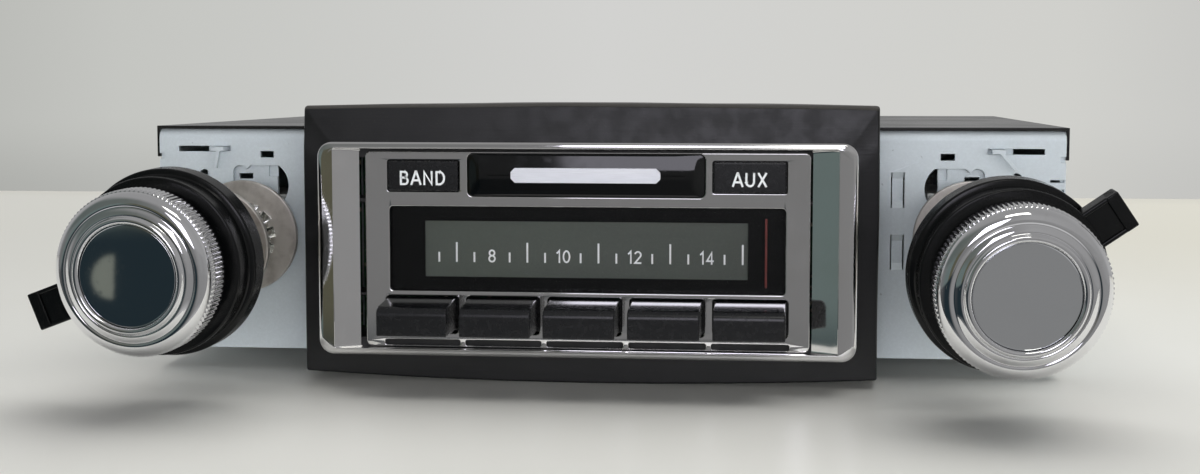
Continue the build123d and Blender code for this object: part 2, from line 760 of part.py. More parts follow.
def control_plane(side):
    """Local frame of a control: its z runs out along the shafts, its y is up."""
    lean = math.radians(side["lean"]) * side["sign"]
    droop = math.radians(side["droop"])
    axis = Vector(math.sin(lean) * math.cos(droop), -math.cos(lean) * math.cos(droop), -math.sin(droop))
    base = Vector(side["sign"] * CONTROL_X, FRONT - CONTROL_BASE_OUT, side["base_z"])
    return Plane(origin=base, x_dir=Vector(0, 0, 1).cross(axis), z_dir=axis)


def axis_point(side, y):
    """Where a control's axis crosses the plane at this y, as (x, z)."""
    frame = control_plane(side)
    step = (y - frame.origin.Y) / frame.z_dir.Y
    point = frame.origin + frame.z_dir * step
    return point.X, point.Z


def slide_plate(side):
    sign = side["sign"]
    z0, z1 = SLIDE_PLATE_Z
    x0, x1 = mirrored_span(sign, *SLIDE_PLATE_X)
    plate = block(x0, x1, SLIDE_Y0, SLIDE_Y1, z0, z1)
    ear_x0, ear_x1 = mirrored_span(sign, *SLIDE_EAR[:2])
    plate += block(ear_x0, ear_x1, SLIDE_Y0, SLIDE_Y1, z0, SLIDE_EAR[2])
    corner_x0, corner_x1 = mirrored_span(sign, SLIDE_PLATE_X[0] - 1, SLIDE_CORNER[0])
    plate -= block(corner_x0, corner_x1, SLIDE_Y0 - 1, SLIDE_Y0 + SLIDE_CORNER_DEPTH,
                   SLIDE_CORNER[1], z1 + 1)
    window_x0, window_x1 = mirrored_span(sign, *SLIDE_WINDOW[:2])
    plate -= block(window_x0, window_x1, SLIDE_Y0 - 1, SLIDE_Y1 + 1, *SLIDE_WINDOW[2:])
    x, z = axis_point(side, SLIDE_Y0)
    plate -= rod_y(x, z, BUSHING_R + 0.5, SLIDE_Y0 - 1, SLIDE_Y1 + 1)
    tab_z0 = TAB_SLOT[2] + TAB_CLEARANCE
    tab_z1 = TAB_SLOT[3] - TAB_CLEARANCE
    tab_x0, tab_x1 = mirrored_span(sign, *TAB_X)
    plate += block(tab_x0, tab_x1, FRONT - TAB_OUT, SLIDE_Y0, tab_z0, tab_z1)
    hook_points = [(sign * hook_x, hook_z) for hook_x, hook_z in side["hook"]]
    return plate + prism_xz(hook_points, FRONT - TAB_OUT, FRONT - TAB_OUT + TAB_T)


def control_body(side):
    frame = control_plane(side)
    case = frame * block(-POT_W / 2, POT_W / 2, -POT_W / 2, POT_W / 2, -5.0 - POT_DEPTH, 0)
    case = case & block(-HALF_W, HALF_W, SLIDE_Y1, 0, 0, WALL_H)
    return case


def bushing(side):
    frame = control_plane(side)
    sleeve = frame * tube(BUSHING_R, OUTER_SHAFT_R + RUNNING_FIT, -9.0, BUSHING_LENGTH)
    return sleeve & block(-HALF_W - 20, HALF_W + 20, FRONT - 40, SLIDE_Y1, 0, WALL_H)


WASHER_1_Y = (FRONT - 2.4, FRONT - 1.2)
WASHER_2_S = 12.8
NUT_S = 14.2
NUT_T = 2.6
NUT_FLAT_R = 6.35
SPACER_S = (17.2, 29.5)
SPACER_R = 9.0
THREAD_GAP = 0.14
STAR_R = 6.9
STAR_TEETH = 12
STAR_T = 0.8
STAR_HOLE_R = BUSHING_R + 0.55


def flat_washers(side):
    frame = control_plane(side)
    x, z = axis_point(side, sum(WASHER_1_Y) / 2)
    rear = rod_y(x, z, WASHER_R, *WASHER_1_Y) - rod_y(x, z, STAR_HOLE_R, FRONT - 4, FRONT)
    front = frame * tube(WASHER_R, BUSHING_R + THREAD_GAP, WASHER_2_S, WASHER_2_S + WASHER_T)
    return group([rear, front])


def star_washer(side):
    y1 = WASHER_1_Y[0]
    y0 = y1 - STAR_T
    x, z = axis_point(side, y0)
    star = rod_y(x, z, STAR_R, y0, y1) - rod_y(x, z, STAR_HOLE_R, y0 - 1, y1 + 1)
    notch = block(STAR_R - 0.9, STAR_R + 1, y0 - 1, y1 + 1, -0.7, 0.7)
    for tooth in range(STAR_TEETH):
        turn = Rot(0, tooth * 360 / STAR_TEETH, 0)
        star -= Pos(x, 0, z) * turn * notch
    return star


def hex_nut(side):
    hexagon = RegularPolygon(radius=NUT_FLAT_R, side_count=6, major_radius=False)
    nut = Pos(0, 0, NUT_S) * extrude(hexagon, amount=NUT_T)
    nut -= rod_z(0, 0, BUSHING_R + THREAD_GAP, NUT_S - 1, NUT_S + NUT_T + 1)
    return control_plane(side) * nut


def spacer(side):
    return control_plane(side) * tube(SPACER_R, BUSHING_R + 0.3, *SPACER_S)


SHAFT_BACK = -4.4
RING_BACK = 30.0
RING_FLANGE = 34.6
RING_HUB_R = 16.0
RING_HUB = 39.4
RING_FRONT = 41.2
TAB_W = 6.9
TAB_S = (35.4, 39.4)


def outer_shaft(side):
    shaft = tube(OUTER_SHAFT_R, INNER_SHAFT_R + RUNNING_FIT, SHAFT_BACK, 37.0)
    return control_plane(side) * shaft


def lever_ring(side):
    bore = OUTER_SHAFT_R + 0.1
    profile = (
        (bore, RING_BACK),
        (RING_R - 0.6, RING_BACK),
        (RING_R, RING_BACK + 0.6),
        (RING_R, RING_FLANGE - 0.8),
        (RING_HUB_R + 0.4, RING_FLANGE),
        (RING_HUB_R, RING_FLANGE + 0.4),
        (RING_HUB_R, RING_HUB - 0.8),
        (RING_HUB_R - 0.8, RING_HUB),
        (13.2, RING_HUB),
        (12.6, RING_FRONT),
        (bore, RING_FRONT),
    )
    reach = side["tab_reach"]
    tab = block(RING_HUB_R - 2.5, reach, -TAB_W / 2, TAB_W / 2, *TAB_S)
    tab = chamfer(tab.edges().group_by(Axis.X)[-1], 0.5)
    ring = lathe(profile) + Rot(0, 0, side["tab_angle"]) * tab
    return control_plane(side) * ring


KNOB_BACK = 41.8
KNOB_RIM = 47.4
DISC_R = 8.9
DISC_S = 49.4
DISC_T = 0.7
SHAFT_TIP = 48.6


def inner_shaft(side):
    return control_plane(side) * rod_z(0, 0, INNER_SHAFT_R, SHAFT_BACK, SHAFT_TIP)


def knob(side):
    bore = INNER_SHAFT_R + 0.06
    profile = (
        (bore, KNOB_BACK),
        (KNOB_R - 0.8, KNOB_BACK),
        (KNOB_R, KNOB_BACK + 0.6),
        (KNOB_R, KNOB_RIM),
        (KNOB_R - 0.5, KNOB_RIM + 1.2),
        (KNOB_R - 1.8, KNOB_RIM + 2.0),
        (DISC_R + 3.3, KNOB_RIM + 1.7),
        (DISC_R + 2.1, KNOB_RIM + 1.6),
        (DISC_R + 1.4, KNOB_RIM + 2.7),
        (DISC_R + 0.5, KNOB_RIM + 3.0),
        (DISC_R + 0.05, DISC_S),
        (0, DISC_S),
        (0, SHAFT_TIP + 0.1),
        (bore, SHAFT_TIP + 0.1),
    )
    return control_plane(side) * lathe(profile)


def knob_disc(side):
    return control_plane(side) * rod_z(0, 0, DISC_R, DISC_S, DISC_S + DISC_T)


# ---- write every piece ----------------------------------------------------------

save(front_plate(SIDES), "front_plate")
save(bottom_tray(), "bottom_tray")
save(top_cover(), "top_cover")
save(cover_screws(), "cover_screws")
save(heat_sink(), "heat_sink")
save(heat_sink_screws(), "heat_sink_screws")

save(nosepiece(), "nosepiece")
save(gasket(), "gasket")
save(bezel(), "bezel")
dial_lens, dial_pointer, lcd_module, backlight = dial_stack()
save(dial_lens, "dial_lens")
save(dial_pointer, "dial_pointer")
save(lcd_module, "lcd_module")
save(backlight, "backlight")
emblem_window, emblem_bar = emblem()
save(emblem_window, "emblem_window")
save(emblem_bar, "emblem_bar")
save(switch_board(), "switch_board")
save(tact_switches(), "tact_switches")
for number, centre in enumerate(preset_centres(), start=1):
    save(preset_button(centre), "preset_button_" + str(number))
band_x, aux_x = function_centres()
save(function_button(band_x), "band_button")
save(function_button(aux_x), "aux_button")

save(main_board(), "main_board")
save(board_standoffs(), "board_standoffs")
save(board_screws(), "board_screws")
save(tuner_module(), "tuner_module")
save(amplifier_chip(), "amplifier_chip")
save(filter_capacitors(), "filter_capacitors")
save(ribbon_cable(), "ribbon_cable")
save(harness_socket(), "harness_socket")
save(harness_pins(), "harness_pins")
save(blade_fuse(), "blade_fuse")
save(antenna_socket(), "antenna_socket")
save(rear_stud(), "rear_stud")

SIDE_PIECES = {
    "slide_plate": slide_plate,
    "control_body": control_body,
    "bushing": bushing,
    "flat_washers": flat_washers,
    "star_washer": star_washer,
    "hex_nut": hex_nut,
    "spacer": spacer,
    "outer_shaft": outer_shaft,
    "lever_ring": lever_ring,
    "inner_shaft": inner_shaft,
    "knob": knob,
    "knob_disc": knob_disc,
}
for side in SIDES:
    for piece_name, make_piece in SIDE_PIECES.items():
        save(make_piece(side), side["name"] + "_" + piece_name)
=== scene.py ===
import json
import math

import bmesh
import bpy
from mathutils import Matrix, Vector
from mathutils import noise as smooth_noise


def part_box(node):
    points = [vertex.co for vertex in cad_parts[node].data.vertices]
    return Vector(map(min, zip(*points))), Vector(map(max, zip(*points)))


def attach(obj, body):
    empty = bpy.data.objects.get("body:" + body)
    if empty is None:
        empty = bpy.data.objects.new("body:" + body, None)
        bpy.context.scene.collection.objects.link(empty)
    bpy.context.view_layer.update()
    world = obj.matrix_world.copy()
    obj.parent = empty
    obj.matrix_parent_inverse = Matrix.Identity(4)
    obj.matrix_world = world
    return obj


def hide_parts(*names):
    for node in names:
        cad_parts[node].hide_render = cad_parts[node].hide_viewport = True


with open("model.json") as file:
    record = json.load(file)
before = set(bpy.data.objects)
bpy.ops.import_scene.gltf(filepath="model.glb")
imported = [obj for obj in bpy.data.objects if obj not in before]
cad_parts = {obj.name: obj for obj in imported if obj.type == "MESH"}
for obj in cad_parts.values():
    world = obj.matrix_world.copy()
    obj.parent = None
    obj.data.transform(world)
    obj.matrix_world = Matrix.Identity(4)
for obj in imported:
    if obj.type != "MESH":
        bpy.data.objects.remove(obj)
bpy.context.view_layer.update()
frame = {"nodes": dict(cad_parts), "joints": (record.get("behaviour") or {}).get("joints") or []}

# The car radio's looks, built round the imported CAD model. Lengths in the pieces are in
# millimetres and are turned into metres as each mesh is made.

MM = 0.001
NODES = frame["nodes"]
JOINTS = {joint["name"]: joint for joint in frame["joints"]}


def span(node):
    """A CAD node's box in millimetres: x0, x1, y0, y1, z0, z1."""
    lo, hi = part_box(node)
    return tuple(value / MM for pair in zip(lo, hi) for value in pair)


def centre(node):
    """The middle of a CAD node's box in millimetres."""
    x0, x1, y0, y1, z0, z1 = span(node)
    return (x0 + x1) / 2, (y0 + y1) / 2, (z0 + z1) / 2


# ---- colour and material nodes ----

def srgb(red, green, blue):
    """A display colour of 0-255 steps as the linear colour that a shader takes."""
    def linear(step):
        share = step / 255
        return share / 12.92 if share <= 0.04045 else ((share + 0.055) / 1.055) ** 2.4
    return (linear(red), linear(green), linear(blue), 1.0)


def grey(level):
    return (level, level, level, 1.0)


PALE_DUST = (170, 168, 160)
RANGE_SOCKETS = ("From Min", "From Max", "To Min", "To Max")


class Nodes:
    """A node tree, with short ways to add nodes. A value may be a socket or a plain number or colour."""

    def __init__(self, tree):
        self.tree = tree

    def node(self, kind, **settings):
        made = self.tree.nodes.new(kind)
        for key, value in settings.items():
            setattr(made, key, value)
        return made

    def link(self, value, socket):
        if hasattr(value, "is_output"):
            self.tree.links.new(value, socket)
        else:
            socket.default_value = value

    def math(self, operation, first, second=0.0, clamp=False):
        made = self.node("ShaderNodeMath", operation=operation, use_clamp=clamp)
        self.link(first, made.inputs[0])
        self.link(second, made.inputs[1])
        return made.outputs[0]

    def ramp(self, value, low, high, to_low=0.0, to_high=1.0):
        made = self.node("ShaderNodeMapRange", interpolation_type="SMOOTHSTEP")
        self.link(value, made.inputs["Value"])
        for socket, number in zip(RANGE_SOCKETS, (low, high, to_low, to_high)):
            self.link(number, made.inputs[socket])
        return made.outputs["Result"]

    def mixed(self, share, first, second, blend="MIX"):
        made = self.node("ShaderNodeMix", data_type="RGBA", blend_type=blend)
        self.link(share, made.inputs["Factor"])
        self.link(first, made.inputs[6])
        self.link(second, made.inputs[7])
        return made.outputs[2]


class Finish(Nodes):
    """A Principled material whose patterns are nodes on the object's own coordinates."""

    def __init__(self, name, colour, rough, metallic=0.0, **uniform):
        self.material = bpy.data.materials.new(name)
        self.material.use_nodes = True
        super().__init__(self.material.node_tree)
        self.bsdf = self.tree.nodes["Principled BSDF"]
        self.place = self.node("ShaderNodeTexCoord").outputs["Object"]
        self.up = None
        self.colour = srgb(*colour)
        self.rough = rough
        self.bsdf.inputs["Metallic"].default_value = metallic
        self.bsdf.inputs["Roughness"].default_value = rough
        self.bsdf.inputs["Base Color"].default_value = self.colour
        for socket, value in uniform.items():
            self.bsdf.inputs[socket.replace("_", " ")].default_value = value

    def noise(self, size, detail=2.0, stretch=(1, 1, 1)):
        """Soft noise whose patches are about size millimetres across."""
        scaled = self.node("ShaderNodeMapping")
        self.link(self.place, scaled.inputs["Vector"])
        scaled.inputs["Scale"].default_value = stretch
        made = self.node("ShaderNodeTexNoise")
        self.link(scaled.outputs["Vector"], made.inputs["Vector"])
        made.inputs["Scale"].default_value = 1 / (size * MM)
        made.inputs["Detail"].default_value = detail
        return made.outputs["Fac"]

    def cells(self, size, feature="F1"):
        made = self.node("ShaderNodeTexVoronoi", feature=feature)
        self.link(self.place, made.inputs["Vector"])
        made.inputs["Scale"].default_value = 1 / (size * MM)
        return made.outputs["Distance"]

    def tint(self, share, colour):
        """Blend the colour so far towards another, where share is 1."""
        self.colour = self.mixed(share, self.colour, srgb(*colour))
        self.link(self.colour, self.bsdf.inputs["Base Color"])

    def shade(self, share, factor, base):
        """Blend in a lighter or darker version of the base colour."""
        colour = tuple(min(1.0, part * factor) for part in srgb(*base)[:3]) + (1.0,)
        self.colour = self.mixed(share, self.colour, colour)
        self.link(self.colour, self.bsdf.inputs["Base Color"])

    def roughen(self, share, to):
        made = self.node("ShaderNodeMix", data_type="FLOAT")
        self.link(share, made.inputs["Factor"])
        self.link(self.rough, made.inputs[2])
        self.link(to, made.inputs[3])
        self.rough = made.outputs[0]
        self.link(self.rough, self.bsdf.inputs["Roughness"])

    def bump(self, height, depth):
        """Raise the surface by depth millimetres where height is 1."""
        made = self.node("ShaderNodeBump")
        made.inputs["Strength"].default_value = 1.0
        made.inputs["Distance"].default_value = depth * MM
        self.link(height, made.inputs["Height"])
        if self.up is not None:
            self.link(self.up, made.inputs["Normal"])
        self.up = made.outputs["Normal"]
        self.link(self.up, self.bsdf.inputs["Normal"])

    def facing_up(self, low=0.2, high=0.9):
        """1 on faces that look up."""
        normal = self.node("ShaderNodeNewGeometry").outputs["Normal"]
        parts = self.node("ShaderNodeSeparateXYZ")
        self.link(normal, parts.inputs[0])
        return self.ramp(parts.outputs["Z"], low, high)

    def dust(self, amount, size=0.5):
        """A thin coat of settled specks, thicker on faces that look up."""
        specks = self.ramp(self.noise(size, 4.0), 0.58, 0.72)
        film = self.math("MULTIPLY", self.noise(9.0, 3.0), amount)
        total = self.math("ADD", self.math("MULTIPLY", specks, amount), film, clamp=True)
        self.tint(self.math("MULTIPLY", total, self.facing_up(-0.4, 1.0)), PALE_DUST)

    def stain(self, size, detail, low, high, share, colour):
        """Another colour in soft patches, where the noise passes from low to high."""
        self.tint(self.ramp(self.noise(size, detail), low, high, 0.0, share), colour)

    def wear(self, size, detail, low, high, rough):
        """Another roughness in soft patches."""
        self.roughen(self.ramp(self.noise(size, detail), low, high), rough)

    def relief(self, size, detail, depth):
        self.bump(self.noise(size, detail), depth)


FINISHES = {}


def finish(name, colour, rough, metallic=0.0, **uniform):
    FINISHES[name] = Finish(name, colour, rough, metallic, **uniform)
    return FINISHES[name]


def zinc(name, colour, rough):
    """Plated sheet steel: cloudy, finely grained, with a few dark spots."""
    made = finish(name, colour, rough, 0.25, Specular_IOR_Level=0.5)
    cloud = made.noise(28.0, 3.0)
    made.shade(made.ramp(cloud, 0.35, 0.7, 0.0, 0.5), 0.9, colour)
    grain = made.noise(0.45, 3.0)
    made.shade(made.ramp(grain, 0.35, 0.75, 0.0, 0.22), 1.2, colour)
    spots = made.ramp(made.noise(1.1, 1.0), 0.74, 0.8)
    made.tint(made.math("MULTIPLY", spots, 0.35), (92, 96, 100))
    made.wear(6.0, 2.0, 0.3, 0.7, rough + 0.12)
    made.bump(grain, 0.012)
    made.relief(14.0, 1.0, 0.12)


zinc("zinc_steel", (211, 220, 226), 0.42)

lid = finish("black_lid", (18, 18, 19), 0.2)
lid.wear(16.0, 2.0, 0.3, 0.7, 0.26)
lid.relief(0.7, 2.0, 0.008)
lid.dust(0.05)

sink = finish("sink_aluminium", (176, 178, 180), 0.42, 0.85)
drawn = sink.noise(0.5, 3.0, stretch=(1, 1, 0.02))
sink.tint(sink.ramp(drawn, 0.3, 0.7, 0.0, 0.5), (128, 131, 135))
sink.roughen(sink.ramp(drawn, 0.3, 0.7), 0.58)
sink.bump(drawn, 0.015)

screw = finish("screw_steel", (196, 194, 186), 0.26, 1.0)
screw.stain(1.6, 3.0, 0.45, 0.75, 0.6, (150, 143, 122))
screw.wear(0.5, 2.0, 0.4, 0.7, 0.45)
screw.relief(0.25, 2.0, 0.01)

plastic = finish("black_housing", (20, 20, 22), 0.45)
plastic.stain(5.0, 2.0, 0.4, 0.8, 0.5, (34, 34, 37))
plastic.relief(0.3, 3.0, 0.02)
plastic.wear(3.0, 2.0, 0.4, 0.7, 0.6)

rubber = finish("gasket_rubber", (6, 7, 9), 0.3, Specular_IOR_Level=0.45)
streaks = rubber.noise(0.5, 4.0, stretch=(0.04, 1, 1))
rubber.tint(rubber.ramp(streaks, 0.35, 0.75, 0.0, 0.5), (14, 15, 19))
rubber.stain(26.0, 3.0, 0.45, 0.75, 0.4, (11, 11, 13))
rubber.wear(4.0, 3.0, 0.3, 0.7, 0.42)
rubber.bump(streaks, 0.02)
rubber.relief(0.22, 2.0, 0.006)
rubber.bump(rubber.noise(6.0, 1.0, stretch=(0.15, 1, 1)), 0.05)
rubber.tint(rubber.math("MULTIPLY", rubber.facing_up(0.3, 0.95), 0.4), (80, 76, 72))
rubber.dust(0.05, 0.35)

chrome = finish("bezel_chrome", (237, 236, 236), 0.045, 1.0)
chrome.stain(11.0, 4.0, 0.5, 0.75, 0.18, (222, 219, 212))
specks = chrome.ramp(chrome.noise(0.5, 2.0), 0.72, 0.8)
chrome.tint(chrome.math("MULTIPLY", specks, 0.16), (190, 188, 180))
chrome.wear(3.0, 4.0, 0.5, 0.75, 0.085)
chrome.relief(18.0, 1.0, 0.012)

glass = finish("lens_clear", (12, 13, 14), 0.05, 0.0, Alpha=0.05, IOR=1.5)
glass.wear(2.5, 3.0, 0.5, 0.75, 0.1)
glass.stain(6.0, 3.0, 0.5, 0.7, 0.4, (20, 22, 22))

pointer = finish("pointer_red", (124, 32, 26), 0.4)
pointer.stain(1.4, 2.0, 0.4, 0.7, 0.6, (92, 26, 24))
pointer.relief(0.2, 2.0, 0.01)

lcd = finish("lcd_face", (80, 87, 81), 0.34, 0.0, Specular_IOR_Level=0.3)
lcd.stain(34.0, 2.0, 0.3, 0.7, 0.6, (75, 79, 77))
lcd.stain(0.25, 2.0, 0.4, 0.7, 0.2, (100, 107, 100))
lcd_dust = lcd.ramp(lcd.cells(7.0), 0.032, 0.02)
lcd.tint(lcd.math("MULTIPLY", lcd_dust, 0.5), (150, 152, 146))
lcd.wear(1.0, 2.0, 0.4, 0.7, 0.44)

border = finish("lcd_border", (9, 10, 11), 0.2, 0.0, Specular_IOR_Level=0.28)
border.tint(border.ramp(border.cells(7.0), 0.03, 0.02), (96, 96, 92))
border.stain(8.0, 3.0, 0.5, 0.8, 0.3, (16, 17, 18))
border.wear(2.0, 3.0, 0.4, 0.7, 0.27)

print_white = finish("dial_print", (236, 239, 242), 0.5)
print_white.stain(0.3, 2.0, 0.4, 0.7, 0.4, (214, 217, 220))
print_white.relief(0.15, 2.0, 0.004)

guide = finish("light_guide", (206, 206, 198), 0.35, 0.0, Subsurface_Weight=0.2)
guide.stain(4.0, 2.0, 0.4, 0.7, 0.5, (188, 188, 176))
guide.relief(0.5, 2.0, 0.02)

gloss = finish("emblem_gloss", (7, 8, 9), 0.06, 0.0, Specular_IOR_Level=0.55)
gloss.stain(3.0, 4.0, 0.55, 0.75, 0.3, (13, 14, 15))
gloss.wear(2.0, 4.0, 0.5, 0.7, 0.1)

silver = finish("emblem_silver", (228, 230, 240), 0.34, 0.15)
brushed = silver.noise(0.12, 3.0, stretch=(0.03, 1, 1))
silver.tint(silver.ramp(brushed, 0.35, 0.7, 0.0, 0.4), (206, 208, 218))
silver.bump(brushed, 0.004)

pcb = finish("circuit_board", (24, 74, 44), 0.36)
tracks = pcb.ramp(pcb.cells(3.2, "DISTANCE_TO_EDGE"), 0.06, 0.1)
pcb.tint(pcb.math("MULTIPLY", pcb.math("SUBTRACT", 1.0, tracks), 0.8), (48, 108, 62))
pads = pcb.ramp(pcb.cells(2.54), 0.2, 0.15)
pcb.tint(pcb.math("MULTIPLY", pads, 0.75), (176, 168, 140))
pcb.bump(tracks, 0.03)

switch = finish("switch_black", (24, 24, 26), 0.5)
switch.stain(1.5, 2.0, 0.4, 0.7, 0.5, (44, 44, 48))
switch.relief(0.2, 2.0, 0.01)

zinc("tin_plate", (196, 198, 196), 0.3)

chip = finish("chip_black", (26, 26, 28), 0.55)
chip.stain(0.3, 3.0, 0.4, 0.7, 0.5, (44, 44, 46))
chip.relief(0.15, 2.0, 0.015)

sleeve = finish("capacitor_sleeve", (24, 32, 66), 0.28)
sleeve.stain(8.0, 2.0, 0.4, 0.7, 0.5, (34, 44, 86))
sleeve.relief(2.0, 2.0, 0.05)

ribbon = finish("ribbon_grey", (150, 150, 152), 0.5)
wires = ribbon.node("ShaderNodeTexWave", bands_direction="X")
ribbon.link(ribbon.place, wires.inputs["Vector"])
wires.inputs["Scale"].default_value = 250.0
ribbon.tint(ribbon.ramp(wires.outputs["Fac"], 0.0, 0.5, 0.8, 0.0), (96, 96, 100))
ribbon.bump(wires.outputs["Fac"], 0.12)

socket = finish("socket_plastic", (30, 30, 33), 0.42)
socket.stain(4.0, 3.0, 0.4, 0.7, 0.5, (44, 44, 48))
socket.wear(1.0, 3.0, 0.4, 0.7, 0.58)
socket.relief(0.25, 2.0, 0.02)

brass = finish("pin_brass", (206, 178, 110), 0.28, 1.0)
brass.stain(1.0, 3.0, 0.4, 0.7, 0.6, (160, 132, 78))
brass.wear(0.4, 2.0, 0.4, 0.7, 0.45)

fuse = finish("fuse_amber", (196, 108, 40), 0.25, 0.0, Transmission_Weight=0.25, Subsurface_Weight=0.3)
fuse.stain(2.0, 2.0, 0.4, 0.7, 0.5, (170, 80, 26))
fuse.relief(0.3, 2.0, 0.02)

nickel = finish("nickel_steel", (226, 227, 222), 0.13, 1.0)
nickel.stain(1.4, 3.0, 0.45, 0.75, 0.45, (176, 172, 162))
nickel.wear(0.5, 3.0, 0.4, 0.7, 0.3)
nickel.relief(0.3, 2.0, 0.012)

washer = finish("washer_steel", (212, 207, 201), 0.3, 0.8)
washer.stain(3.0, 4.0, 0.4, 0.75, 0.6, (158, 151, 144))
washer.stain(0.25, 2.0, 0.5, 0.8, 0.5, (206, 201, 194))
washer.wear(0.6, 3.0, 0.35, 0.7, 0.42)
washer.relief(0.22, 3.0, 0.014)

shaft = finish("shaft_aluminium", (190, 191, 193), 0.3, 1.0)
turned_lines = shaft.noise(0.3, 2.0)
shaft.tint(shaft.ramp(turned_lines, 0.4, 0.7, 0.0, 0.5), (150, 152, 156))
shaft.roughen(shaft.ramp(turned_lines, 0.4, 0.7), 0.42)
shaft.bump(turned_lines, 0.01)

ring_black = finish("ring_black", (6, 7, 8), 0.2, 0.0, Specular_IOR_Level=0.32)
ring_black.stain(1.2, 4.0, 0.62, 0.8, 0.25, (22, 21, 21))
ring_black.wear(1.5, 4.0, 0.45, 0.75, 0.28)
ring_black.relief(1.0, 2.0, 0.005)

charcoal = finish("button_charcoal", (16, 17, 20), 0.24, 0.0, Specular_IOR_Level=0.5)
charcoal.stain(0.3, 3.0, 0.4, 0.75, 0.3, (21, 22, 26))
charcoal.wear(1.2, 3.0, 0.4, 0.7, 0.3)
charcoal.roughen(charcoal.facing_up(0.8, 0.98), 0.12)
charcoal.relief(0.16, 2.0, 0.0015)

knob_chrome = finish("knob_chrome", (242, 242, 244), 0.04, 1.0)
knob_chrome.stain(2.4, 4.0, 0.55, 0.78, 0.2, (214, 212, 206))
knob_chrome.wear(2.0, 4.0, 0.5, 0.75, 0.08)
knob_chrome.relief(5.0, 1.0, 0.012)

disc = finish("disc_mirror", (234, 236, 238), 0.03, 1.0)
disc.stain(6.0, 3.0, 0.45, 0.75, 0.12, (222, 225, 228))
disc.stain(0.2, 2.0, 0.5, 0.85, 0.12, (244, 246, 248))
disc.wear(1.2, 4.0, 0.55, 0.8, 0.06)


# ---- mesh helpers ----

# Points closer than this, in metres, are joined: doubled points, and the seams of curves and nodes.
DOUBLED, SEAM = 1e-7, 2e-6


def even_normals(piece):
    """Shade large flat faces flat, however small the rounded edges beside them are."""
    even = piece.modifiers.new("even_normals", "WEIGHTED_NORMAL")
    even.keep_sharp = True
    even.weight = 80


def add_piece(name, shape, finish_name, replaces=None, body="chassis", sharp=32):
    """Put a shape, a mesh or (points, faces), into the scene, riding on a CAD body."""
    mesh = mesh_of(shape) if isinstance(shape, tuple) else shape
    mesh.validate()
    for polygon in mesh.polygons:
        polygon.use_smooth = True
    mesh.set_sharp_from_angle(angle=math.radians(sharp))
    mesh.materials.clear()
    mesh.materials.append(FINISHES[finish_name].material)
    piece = show(name, mesh)
    even_normals(piece)
    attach(piece, body)
    if replaces:
        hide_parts(replaces)


def show(name, data):
    """A new object in the scene."""
    piece = bpy.data.objects.new(name, data)
    bpy.context.scene.collection.objects.link(piece)
    return piece


def weld(mesh, distance):
    """Join doubled points and turn all normals outwards."""
    work = bmesh.new()
    work.from_mesh(mesh)
    bmesh.ops.remove_doubles(work, verts=work.verts, dist=distance)
    bmesh.ops.recalc_face_normals(work, faces=work.faces)
    work.to_mesh(mesh)
    work.free()


def mesh_of(shape):
    """A mesh from (points, faces), the points in millimetres."""
    points, faces = shape
    mesh = bpy.data.meshes.new("mesh")
    mesh.from_pydata([tuple(value * MM for value in point) for point in points], [], faces)
    weld(mesh, DOUBLED)
    return mesh


def joined(parts):
    """Several (points, faces) parts as one."""
    points, faces = [], []
    for part_points, part_faces in parts:
        start = len(points)
        points.extend(part_points)
        faces.extend(tuple(start + index for index in face) for face in part_faces)
    return points, faces


def placed(part, matrix):
    points, faces = part
    return [tuple(matrix @ Vector(point)) for point in points], faces


def turned(profile, segments, shape=None):
    """Turn a closed profile of (radius, height) about Z. shape(index, angle, r, s) may move a point."""
    points, faces = [], []
    count = len(profile)
    for step in range(segments):
        angle = 2 * math.pi * step / segments
        for index, (r, s) in enumerate(profile):
            if shape:
                r, s = shape(index, angle, r, s)
            points.append((r * math.cos(angle), r * math.sin(angle), s))
    for step in range(segments):
        following = (step + 1) % segments
        for index in range(count):
            after = (index + 1) % count
            faces.append((step * count + index, following * count + index,
                          following * count + after, step * count + after))
    return points, faces


def rounded_rect(x0, x1, z0, z1, r, corner=8, side=12):
    """Points round a rectangle with rounded corners, the same number whatever its size."""
    points = []
    centres = ((x1 - r, z1 - r, 0), (x0 + r, z1 - r, 90), (x0 + r, z0 + r, 180), (x1 - r, z0 + r, 270))
    for number, (cx, cz, start) in enumerate(centres):
        arc = [(cx + r * math.cos(math.radians(start + 90 * k / corner)),
                cz + r * math.sin(math.radians(start + 90 * k / corner))) for k in range(corner + 1)]
        points.extend(arc)
        nx, nz, turn = centres[(number + 1) % 4]
        end = (nx + r * math.cos(math.radians(turn)), nz + r * math.sin(math.radians(turn)))
        for k in range(1, side):
            share = k / side
            points.append((arc[-1][0] + (end[0] - arc[-1][0]) * share,
                           arc[-1][1] + (end[1] - arc[-1][1]) * share))
    return points


def ring_of_loops(loops):
    """Join loops of (x, y, z) points, each of one length, into a closed ring."""
    count = len(loops[0])
    points = [point for loop in loops for point in loop]
    faces = []
    for level in range(len(loops)):
        above = (level + 1) % len(loops)
        for index in range(count):
            after = (index + 1) % count
            faces.append((level * count + index, level * count + after,
                          above * count + after, above * count + index))
    return points, faces


def stack_of_loops(loops):
    """Join loops into a closed body, with a face at each end."""
    points, faces = ring_of_loops(loops)
    count = len(loops[0])
    faces = faces[:-count]
    faces.append(tuple(range(count)))
    last = (len(loops) - 1) * count
    faces.append(tuple(range(last + count - 1, last - 1, -1)))
    return points, faces


UPRIGHT = Matrix.Rotation(math.pi / 2, 4, "X")


def at_depth(outline, y):
    return [(x, y, z) for x, z in outline]


def face(box):
    """The x0, x1, z0, z1 of a box seen from the front."""
    return box[0], box[1], box[4], box[5]


def grown(box, reach):
    """A front view's x0, x1, z0, z1, larger by reach on every side."""
    return box[0] - reach, box[1] + reach, box[2] - reach, box[3] + reach


